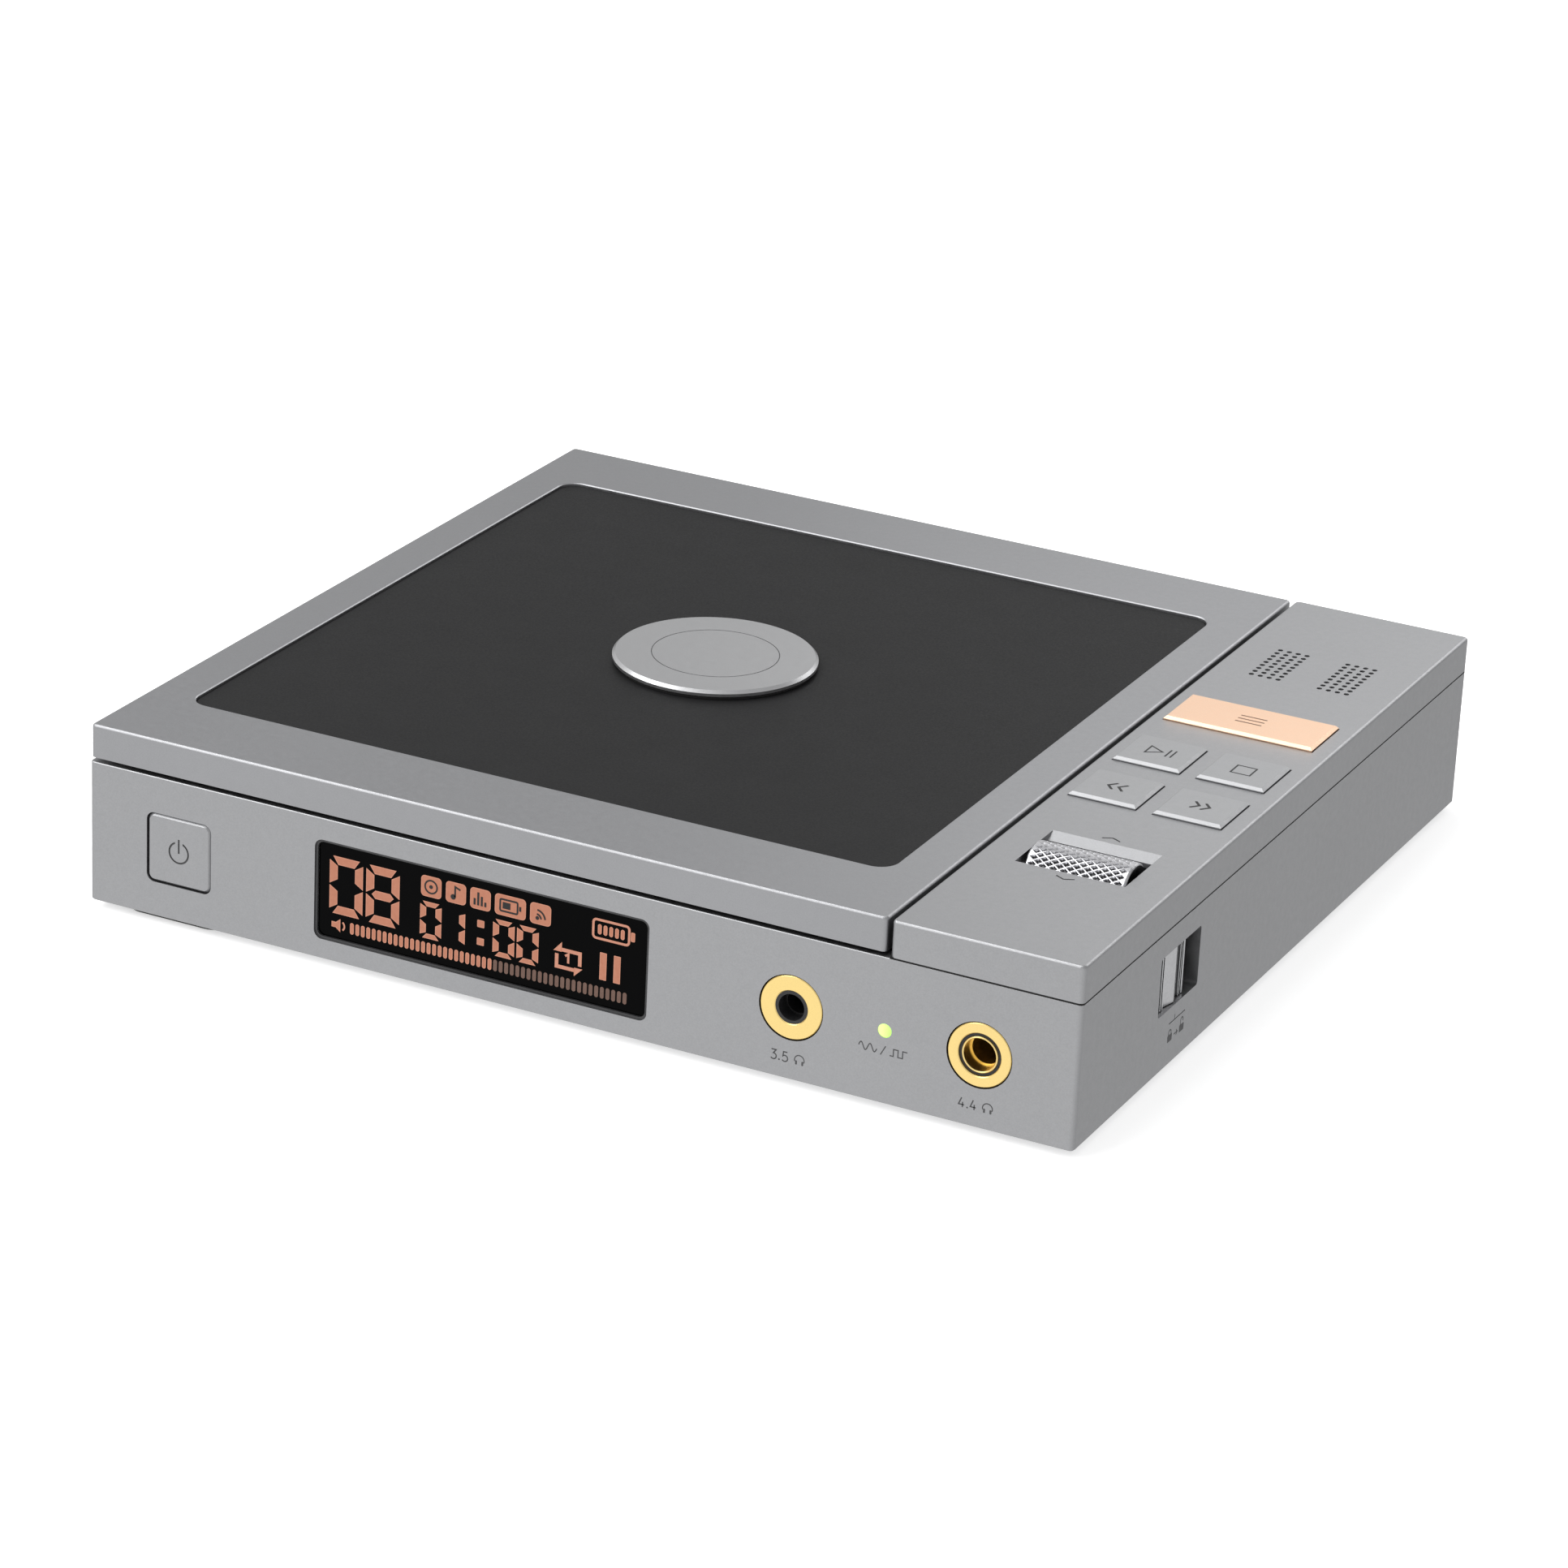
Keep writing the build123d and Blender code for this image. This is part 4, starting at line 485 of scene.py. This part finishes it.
def ribbon(points, width, closed=False):
    """Outlines of the quads of a flat line of a given width through the points."""
    count = len(points)
    sides = []
    for i, point in enumerate(points):
        before = points[i - 1] if closed or i else None
        after = points[(i + 1) % count] if closed or i < count - 1 else None
        steps = []
        if before is not None:
            steps.append((Vector(point) - Vector(before)).normalized())
        if after is not None:
            steps.append((Vector(after) - Vector(point)).normalized())
        along = sum(steps, Vector((0.0, 0.0))).normalized()
        across = Vector((-along.y, along.x))
        reach = width / 2 / max(0.35, across.dot(Vector((-steps[0].y, steps[0].x))))
        sides.append((Vector(point) + across * reach, Vector(point) - across * reach))
    quads = []
    for i in range(count if closed else count - 1):
        (a, b), (c, d) = sides[i], sides[(i + 1) % count]
        quads.append([tuple(a), tuple(c), tuple(d), tuple(b)])
    return quads


def arc(centre, radius, start, end, steps):
    """Points on an arc, angles in degrees."""
    points = []
    for i in range(steps + 1):
        angle = math.radians(start + (end - start) * i / steps)
        across, up = radius * math.cos(angle), radius * math.sin(angle)
        points.append((centre[0] + across, centre[1] + up))
    return points


def rounded_box(x0, y0, x1, y1, radius, steps=5):
    """Outline of a rectangle with round corners."""
    corners = (
        ((x1 - radius, y1 - radius), 0), ((x0 + radius, y1 - radius), 90),
        ((x0 + radius, y0 + radius), 180), ((x1 - radius, y0 + radius), 270),
    )
    outline = []
    for centre, start in corners:
        outline += arc(centre, radius, start, start + 90, steps)
    return outline


def inset(outline, distance):
    """A convex outline moved inwards by a distance."""
    count = len(outline)
    area = sum(
        outline[i][0] * outline[(i + 1) % count][1] - outline[(i + 1) % count][0] * outline[i][1]
        for i in range(count)
    )
    side = 1.0 if area > 0 else -1.0
    moved = []
    for i in range(count):
        before, here = Vector(outline[i - 1]), Vector(outline[i])
        after = Vector(outline[(i + 1) % count])
        first, second = (here - before).normalized(), (after - here).normalized()
        normals = [Vector((-d.y, d.x)) * side for d in (first, second)]
        middle = (normals[0] + normals[1]).normalized()
        moved.append(tuple(here + middle * distance / max(0.3, middle.dot(normals[0]))))
    return moved


def plates(name, outlines, bottom, thickness, to_space, look, body, slot):
    """One piece made of many flat plates."""
    vertices, faces = [], []
    for outline in outlines:
        some, links = slab(outline, bottom, thickness, to_space)
        faces += [[i + len(vertices) for i in face] for face in links]
        vertices += some
    return mesh_piece(name, vertices, faces, look, body)


# --------------------------------------------------------------------------
# Display
# --------------------------------------------------------------------------

GLASS_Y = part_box("display_glass")[0].y


def on_glass(x, z, height):
    return Vector((x * MM, GLASS_Y - height * MM, z * MM))


SEGMENTS = {"0": "abcdef", "1": "bc", "8": "abcdefg"}


def seven_segment(figure, x, z, width, height, across, along, gap):
    """Outlines of one figure's bars. Upright bars are across wide, level ones along."""
    top, middle, right = z + height, z + height / 2, x + width
    mitre = across * 0.42
    level = {"a": (top, -1.0), "d": (z, 1.0)}
    shapes = {}
    for key, (edge, side) in level.items():
        shapes[key] = [
            (x + mitre, edge), (right - mitre, edge),
            (right - across - gap * 0.4, edge + side * along),
            (x + across + gap * 0.4, edge + side * along),
        ]
    upright = {
        "f": (x, 1.0, top, -1.0), "b": (right, -1.0, top, -1.0),
        "e": (x, 1.0, z, 1.0), "c": (right, -1.0, z, 1.0),
    }
    for key, (edge, inward, end, towards) in upright.items():
        shapes[key] = [
            (edge, end + towards * (mitre + gap * 0.5)),
            (edge + inward * across, end + towards * (along + gap * 0.9)),
            (edge + inward * across, middle - towards * (across * 0.62 + gap * 0.5)),
            (edge, middle - towards * gap * 0.5),
        ]
    shapes["g"] = [
        (x + across * 0.55 + gap, middle), (x + across + gap, middle + along / 2),
        (right - across - gap, middle + along / 2), (right - across * 0.55 - gap, middle),
        (right - across - gap, middle - along / 2), (x + across + gap, middle - along / 2),
    ]
    return [shapes[key] for key in SEGMENTS[figure]]


BIG = {"z": 8.57, "width": 5.5, "height": 8.93, "across": 1.32, "along": 1.28, "gap": 0.22}
SMALL = {"z": 8.29, "width": 3.5, "height": 5.71, "across": 0.98, "along": 0.75, "gap": 0.18}
lit = []
for figure, x in (("0", -38.68), ("8", -32.64)):
    lit += seven_segment(figure, x, **BIG)
for figure, x in (("0", -23.71), ("1", -19.86), ("0", -11.84), ("0", -7.96)):
    lit += seven_segment(figure, x, **SMALL)
for z in (12.07, 9.32):
    lit.append(rounded_box(-14.39, z, -13.25, z + 1.11, 0.08, 1))
for x in (5.36, 7.57):
    lit.append(rounded_box(x, 8.75, x + 1.08, 12.93, 0.05, 1))

BOX_TOP, BOX_BOTTOM = 18.0, 14.79
ICON_BOXES = ((-23.64, -20.32), (-19.6, -16.32), (-15.64, -12.32), (-11.64, -6.64), (-5.96, -2.6))
for left, right in ICON_BOXES:
    lit.append(rounded_box(left, BOX_BOTTOM, right, BOX_TOP, 0.6))
lit += [[(-38.25, 7.25), (-37.55, 7.25), (-36.8, 7.85), (-36.8, 5.8), (-37.55, 6.4), (-38.25, 6.4)]]

BAR_LEFT, BAR_PITCH, BAR_WIDTH, BAR_BOTTOM, BAR_TOP = -35.18, 0.905, 0.62, 5.9, 7.68
BAR_COUNT, BAR_LIT = 50, 26
bars = []
for i in range(BAR_COUNT):
    x = BAR_LEFT + BAR_PITCH * i
    bars.append(rounded_box(x, BAR_BOTTOM, x + BAR_WIDTH, BAR_TOP, BAR_WIDTH / 2 - 0.01, 4))
lit += bars[:BAR_LIT]
dim = bars[BAR_LIT:]

# The battery: five cells and its tip.
CELL_LEFT, CELL_PITCH, CELL_WIDTH, CELL_COUNT = 4.88, 0.91, 0.6, 5
for i in range(CELL_COUNT):
    x = CELL_LEFT + i * CELL_PITCH
    lit.append(rounded_box(x, 15.62, x + CELL_WIDTH, 17.16, 0.29, 4))
lit.append(rounded_box(10.12, 15.7, 10.78, 17.1, 0.15, 2))

# Thin lines: the battery's case, the loudspeaker's wave, the repeat loop and its 1.
thin = ribbon(rounded_box(4.15, 14.98, 9.85, 17.82, 0.5), 0.36, True)
thin += ribbon(arc((-36.9, 6.8), 0.78, -52, 52, 8), 0.26)
thin += ribbon([(-0.9, 11.85), (2.2, 11.85), (2.2, 9.9)], 0.55)
thin += ribbon([(-1.5, 11.1), (-1.5, 9.15), (1.4, 9.15)], 0.55)
thin.append([(-2.05, 11.5), (-0.72, 13.0), (-0.72, 11.5)])
thin.append([(2.65, 9.55), (1.32, 8.25), (1.32, 9.55)])
thin += ribbon([(-0.15, 11.0), (0.35, 11.35), (0.35, 9.95)], 0.34)

STEP = 0.03
CORE_INSET = 0.13
BODY_AND_SLOT = ("base", "indicator")
cores = [inset(shape, CORE_INSET) for shape in lit]
plates("display_edges", lit + thin, 0.0, STEP, on_glass, segment_edge, *BODY_AND_SLOT)
plates("display_cores", cores, STEP, STEP, on_glass, segment_core, *BODY_AND_SLOT)
plates("display_dim_bars", dim, 0.0, STEP, on_glass, segment_dim, *BODY_AND_SLOT)

# Signs cut out of the five boxes: a disc, a note, a level meter, a cell and a wireless mark.
signs = []
disc_x, box_z = -21.98, (BOX_TOP + BOX_BOTTOM) / 2
signs += ribbon(arc((disc_x, box_z), 0.98, 0, 360, 28)[:-1], 0.26, True)
signs.append(arc((disc_x, box_z), 0.3, 0, 360, 16)[:-1])
note_x = -17.96
signs += ribbon([(note_x - 0.1, 15.75), (note_x - 0.1, 17.35), (note_x + 0.75, 17.0)], 0.28)
signs.append(arc((note_x - 0.4, 15.75), 0.42, 0, 360, 16)[:-1])
for i, height in enumerate((1.0, 2.0, 1.45, 0.7)):
    x = -15.05 + i * 0.58
    signs.append([(x, 15.4), (x + 0.34, 15.4), (x + 0.34, 15.4 + height), (x, 15.4 + height)])
signs += ribbon(rounded_box(-10.75, 15.5, -7.95, 17.3, 0.2, 2), 0.28, True)
signs.append([(-7.7, 16.05), (-7.35, 16.05), (-7.35, 16.75), (-7.7, 16.75)])
signs.append([(-10.35, 15.9), (-9.1, 15.9), (-9.1, 16.9), (-10.35, 16.9)])
for radius in (0.75, 1.4):
    signs += ribbon(arc((-4.9, 15.6), radius, 5, 85, 8), 0.28)
signs.append(arc((-4.75, 15.75), 0.3, 0, 360, 12)[:-1])
plates("display_signs", signs, 2 * STEP, STEP, on_glass, segment_off, *BODY_AND_SLOT)

# --------------------------------------------------------------------------
# Marks on the case
# --------------------------------------------------------------------------

MARK_DEPTH = 0.008
FIGURE_Z, FIGURE_HEIGHT = 3.78, 1.45
HEADPHONES_Z, HEADPHONES_SIZE = 3.72, 1.62


def on_front(x, z, height):
    return Vector((x * MM, FRONT_Y - height * MM, z * MM))


def on_side(y, z, height):
    return Vector((SIDE_X + height * MM, y * MM, z * MM))


def numeral(figure, x, z, size):
    """Outlines of a small printed figure, size mm high, lower left corner at x, z."""
    w, line = size * 0.52, size * 0.13
    if figure == ".":
        return [rounded_box(x, z, x + line * 1.3, z + line * 1.3, line * 0.3, 1)]
    if figure == "3":
        lower = arc((w * 0.46, size * 0.31), size * 0.31, 82, -145, 14)
        points = [(0.02, size), (w * 0.98, size), (w * 0.46, size * 0.62)] + lower
    elif figure == "5":
        lower = arc((w * 0.44, size * 0.32), size * 0.32, 118, -145, 14)
        points = [(w * 0.95, size), (w * 0.16, size), (w * 0.08, size * 0.56)] + lower
    else:
        points = [(w * 0.55, size), (0.0, size * 0.27), (w * 1.1, size * 0.27)]
        extra = [(w * 0.78, size * 0.55), (w * 0.78, 0.0)]
        points, stem = ([(x + a, z + b) for a, b in part] for part in (points, extra))
        return ribbon(points, line) + ribbon(stem, line)
    return ribbon([(x + a, z + b) for a, b in points], line)


def headphones(x, z, size):
    """A small headphone sign, lower left corner at x, z."""
    centre = (x + size * 0.5, z + size * 0.47)
    shapes = ribbon(arc(centre, size * 0.46, 200, -20, 20), size * 0.1)
    for side in (-1, 1):
        pad_x = centre[0] + side * size * 0.3
        shapes.append(rounded_box(
            pad_x - size * 0.09, z + size * 0.02, pad_x + size * 0.09, z + size * 0.42,
            size * 0.08, 3,
        ))
    return shapes


marks = []
for figure, x in (("3", 32.95), (".", 34.06), ("5", 34.72)):
    marks += numeral(figure, x, FIGURE_Z, FIGURE_HEIGHT)
marks += headphones(36.5, HEADPHONES_Z, HEADPHONES_SIZE)
for figure, x in (("4", 61.68), (".", 62.86), ("4", 63.44)):
    marks += numeral(figure, x, FIGURE_Z, FIGURE_HEIGHT)
marks += headphones(65.2, HEADPHONES_Z, HEADPHONES_SIZE)

# Below the lamp: a sine wave, a stroke and a square wave stand for the two signal kinds.
WAVE_STEPS = 24
wave = []
for i in range(WAVE_STEPS + 1):
    wave.append((46.2 + 0.115 * i, 9.22 + 0.55 * math.sin(i / WAVE_STEPS * 4 * math.pi)))
marks += ribbon(wave, 0.17)
marks += ribbon([(49.55, 8.5), (50.3, 9.95)], 0.16)
square = [
    (50.95, 8.7), (51.5, 8.7), (51.5, 9.75), (52.2, 9.75),
    (52.2, 8.7), (52.9, 8.7), (52.9, 9.75), (53.6, 9.75),
]
marks += ribbon(square, 0.17)
plates("front_marks", marks, 0.0, MARK_DEPTH, on_front, mark_ink, "base", "black_plastic")

# Below the hold slider: a closed padlock, an arrow and an open padlock.
lock = []
for centre, lift in ((-40.6, 0.0), (-36.4, 0.35)):
    lock.append(rounded_box(centre - 0.8, 4.95, centre + 0.8, 6.05, 0.15, 2))
    shackle = [(centre - 0.45, 6.05)] + arc((centre, 6.3 + lift), 0.45, 180, 0, 10)
    lock += ribbon(shackle + [(centre + 0.45, 6.05 + lift)], 0.2)
lock += ribbon([(-39.1, 5.5), (-37.9, 5.5)], 0.2)
lock += ribbon([(-38.3, 5.1), (-37.85, 5.5), (-38.3, 5.9)], 0.2)
plates("side_marks", lock, 0.0, MARK_DEPTH, on_side, mark_ink, "base", "black_plastic")

# Signs on the keys, filled in over their engraved lines.
KEY_STROKE = 0.28
key_ink = moulded("key_ink", (0.02, 0.02, 0.021), 0.6, 0.25, 0.000003)
menu_ink = moulded("menu_ink", (0.17, 0.075, 0.04), 0.6, 0.25, 0.000003)


def chevrons(way):
    """Two arrowheads pointing right for way 1 and left for way -1."""
    lines = []
    for start in (-1.3, 0.3):
        lines += ribbon([(way * start, 1.2), (way * (start + 1.0), 0.0), (way * start, -1.2)], 0.42)
    return lines


def upright(x, half):
    return [(x, -half), (x + KEY_STROKE, -half), (x + KEY_STROKE, half), (x, half)]


def level(y, half):
    low, high = y - KEY_STROKE / 2, y + KEY_STROKE / 2
    return [(-half, low), (half, low), (half, high), (-half, high)]


KEY_SIGNS = {
    "play": ribbon([(-1.9, -1.4), (-1.9, 1.4), (0.4, 0.0)], KEY_STROKE, True)
    + [upright(1.14, 1.4), upright(1.94, 1.4)],
    "stop": ribbon([(-1.5, -1.5), (1.5, -1.5), (1.5, 1.5), (-1.5, 1.5)], KEY_STROKE, True),
    "previous": chevrons(-1.0),
    "next": chevrons(1.0),
    "menu": [level(y, 2.1) for y in (1.2, 0.0, -1.2)],
}
BODIES = frame["record"]["behaviour"]["bodies"]
KEY_BODIES = {node: body for body, held in BODIES.items() for node in held}
for key, shapes in KEY_SIGNS.items():
    low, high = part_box(key + "_button")
    middle = (low + high) / 2

    def on_key(x, y, height, middle=middle, top=high.z):
        return Vector((middle.x + x * MM, middle.y + y * MM, top + height * MM))

    ink = menu_ink if key == "menu" else key_ink
    body = KEY_BODIES[key + "_button"]
    plates(key + "_sign", shapes, 0.0, MARK_DEPTH, on_key, ink, body, "black_plastic")

# --------------------------------------------------------------------------
# Painted shade: a dark strip in the seam between the lower case and the control block
# --------------------------------------------------------------------------

SEAM_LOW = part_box("base_shell")[1].z - 0.00003
SEAM_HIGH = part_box("base_shell")[1].z + 0.00021
SEAM_PROUD = 0.00001
SEAM_THICK = 0.0006
CASE_CORNER = 0.0008
seam_shadow = moulded("seam_shadow", (0.004, 0.004, 0.004), 0.9, 0.3, 0.000003)


def seam_path(distance):
    """Plan outline of the seam, front left to rear left, moved outwards by a distance."""
    low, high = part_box("control_cover")
    radius = CASE_CORNER + distance
    x, front, rear = high.x - CASE_CORNER, low.y + CASE_CORNER, high.y - CASE_CORNER
    path = [(low.x, front - radius)]
    path += arc((x, front), radius, -90, 0, 8) + arc((x, rear), radius, 0, 90, 8)
    return path + [(low.x, rear + radius)]


def painted_seam_shade():
    """A dark strip of painted shade that fills the seam's mouth, so that it reads as a black line.
    """
    outer, inner = seam_path(SEAM_PROUD), seam_path(-SEAM_THICK)
    vertices = []
    for z in (SEAM_LOW, SEAM_HIGH):
        vertices += [(x, y, z) for path in (outer, inner) for x, y in path]
    count = len(outer)
    faces = []
    for i in range(count - 1):
        for a, b in ((0, 1), (1, 3), (3, 2), (2, 0)):
            near, far = a * count + i, b * count + i
            faces.append([near, near + 1, far + 1, far])
    for i in (0, count - 1):
        faces.append([i, count + i, 3 * count + i, 2 * count + i])
    mesh_piece("painted_seam_shade", vertices, faces, seam_shadow, "base")


painted_seam_shade()

# --------------------------------------------------------------------------
# Knurled volume wheel
# --------------------------------------------------------------------------

WHEEL_LOW, WHEEL_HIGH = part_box("volume_wheel")
WHEEL_AXIS_Y = (WHEEL_LOW.y + WHEEL_HIGH.y) / 2
WHEEL_AXIS_Z = (WHEEL_LOW.z + WHEEL_HIGH.z) / 2
WHEEL_RADIUS = (WHEEL_HIGH.y - WHEEL_LOW.y) / 2
KNURL_COLUMNS = 18
KNURL_ROWS = 52
KNURL_DEPTH = 0.00045
PIT_MOUTH = 0.84
PIT_FLOOR = 0.3
RIM = 0.0003

wheel_metal = knurled_metal(
    "wheel_metal", (0.62, 0.62, 0.64), 0.28, WHEEL_AXIS_Y, WHEEL_AXIS_Z, WHEEL_RADIUS - KNURL_DEPTH,
    WHEEL_RADIUS - KNURL_DEPTH * 0.3,
)


def knurled_wheel():
    """A wheel whose face carries a lattice of crossing ridges around diamond pits."""
    vertices, faces = [], []
    left, right = WHEEL_LOW.x + RIM, WHEEL_HIGH.x - RIM
    column = (right - left) / KNURL_COLUMNS
    floor_radius = WHEEL_RADIUS - KNURL_DEPTH

    def add(i, j, radius, x=None):
        angle = 2 * math.pi * j / KNURL_ROWS
        x = left + column * i if x is None else x
        y, z = WHEEL_AXIS_Y + radius * math.cos(angle), WHEEL_AXIS_Z + radius * math.sin(angle)
        vertices.append((x, y, z))
        return len(vertices) - 1

    node = {}
    for i in range(KNURL_COLUMNS + 1):
        for j in range(KNURL_ROWS):
            if (i + j) % 2:
                node[i, j] = add(i, j, WHEEL_RADIUS)
    steps = ((1, 0), (0, 1), (-1, 0), (0, -1))
    for i in range(1, KNURL_COLUMNS):
        for j in range(KNURL_ROWS):
            if (i + j) % 2:
                continue
            outer = [node[i + a, (j + b) % KNURL_ROWS] for a, b in steps]
            mouth = [add(i + a * PIT_MOUTH, j + b * PIT_MOUTH, WHEEL_RADIUS) for a, b in steps]
            pit = [add(i + a * PIT_FLOOR, j + b * PIT_FLOOR, floor_radius) for a, b in steps]
            for low, high in ((outer, mouth), (mouth, pit)):
                for k in range(4):
                    faces.append([low[k], low[(k + 1) % 4], high[(k + 1) % 4], high[k]])
            faces.append(pit)
    ends = ((0, 1, WHEEL_LOW.x), (KNURL_COLUMNS, KNURL_COLUMNS - 1, WHEEL_HIGH.x))
    for i, inner, end_x in ends:
        ring = [j for j in range(KNURL_ROWS) if (i + j) % 2]
        rim = [add(i, j, WHEEL_RADIUS - RIM, end_x) for j in ring]
        for k, j in enumerate(ring):
            after = (k + 1) % len(ring)
            faces.append([node[i, j], node[inner, (j + 1) % KNURL_ROWS], node[i, ring[after]]])
            faces.append([node[i, j], node[i, ring[after]], rim[after], rim[k]])
        faces.append(rim)
    piece = mesh_piece("knurled_wheel", vertices, faces, wheel_metal, "wheel")
    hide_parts("volume_wheel")


knurled_wheel()

# --------------------------------------------------------------------------
# Floor and light
# --------------------------------------------------------------------------


FLOOR_HALF = 3.0
FLOOR_GLOW = 0.50


def add_floor():
    corners = [(a * FLOOR_HALF, b * FLOOR_HALF, 0) for a, b in ((-1, -1), (1, -1), (1, 1), (-1, 1))]
    data = bpy.data.meshes.new("floor")
    data.from_pydata(corners, [], [(0, 1, 2, 3)])
    floor = bpy.data.objects.new("floor", data)
    paint = Paint("floor_paper", (0.9, 0.9, 0.9), 0.9)
    paint.vary(paint.noise(3.0, 2.0), 0.01)
    paint.set("Specular IOR Level", 0.0)
    paint.set("Emission Color", (1.0, 1.0, 1.0, 1.0))
    paint.set("Emission Strength", FLOOR_GLOW)
    data.materials.append(paint.material)
    floor.visible_glossy = False
    scene.collection.objects.link(floor)


def add_softbox(name, place, target, size, power):
    """A rectangular area light at a place, facing a target. power is in watts."""
    data = bpy.data.lights.new(name, "AREA")
    data.shape = "RECTANGLE"
    data.size, data.size_y = size
    data.energy = power
    softbox = bpy.data.objects.new(name, data)
    softbox.visible_camera = False
    aim = Vector(target) - Vector(place)
    turn = aim.to_track_quat("-Z", "Y").to_matrix().to_4x4()
    softbox.matrix_world = Matrix.Translation(place) @ turn
    scene.collection.objects.link(softbox)


WORLD_LEVEL = 0.78
WORLD_SLOPE = (-0.10, -0.186, -0.22)


def add_world():
    """A soft studio that is a little brighter towards the left, the front and below."""
    world = bpy.data.worlds.new("studio")
    world.use_nodes = True
    tree = world.node_tree
    background = tree.nodes["Background"]
    place = tree.nodes.new("ShaderNodeTexCoord")
    slope = tree.nodes.new("ShaderNodeVectorMath")
    slope.operation = "DOT_PRODUCT"
    slope.inputs[1].default_value = WORLD_SLOPE
    level = tree.nodes.new("ShaderNodeMath")
    level.operation = "ADD"
    level.inputs[1].default_value = WORLD_LEVEL
    tree.links.new(place.outputs["Generated"], slope.inputs[0])
    tree.links.new(slope.outputs["Value"], level.inputs[0])
    tree.links.new(level.outputs["Value"], background.inputs["Strength"])
    background.inputs["Color"].default_value = (1.0, 1.0, 1.0, 1.0)
    scene.world = world


add_floor()
add_softbox("key_light", (-0.9, -1.0, 1.1), (0, 0, 0), (1.2, 1.0), 9.0)
add_softbox("top_light", (-0.45, -0.05, 0.90), (0.05, 0.0, 0.0), (0.5, 1.0), 5.0)
add_softbox("back_light", (0.3, 1.5, 0.85), (0, 0, 0), (1.2, 0.8), 4.5)
add_softbox("lid_light", (-0.02, 0.33, 0.24), (0.05, -0.04, 0.03), (0.22, 0.16), 0.07)
add_world()
scene.view_settings.view_transform = "Standard"
scene.view_settings.look = "None"
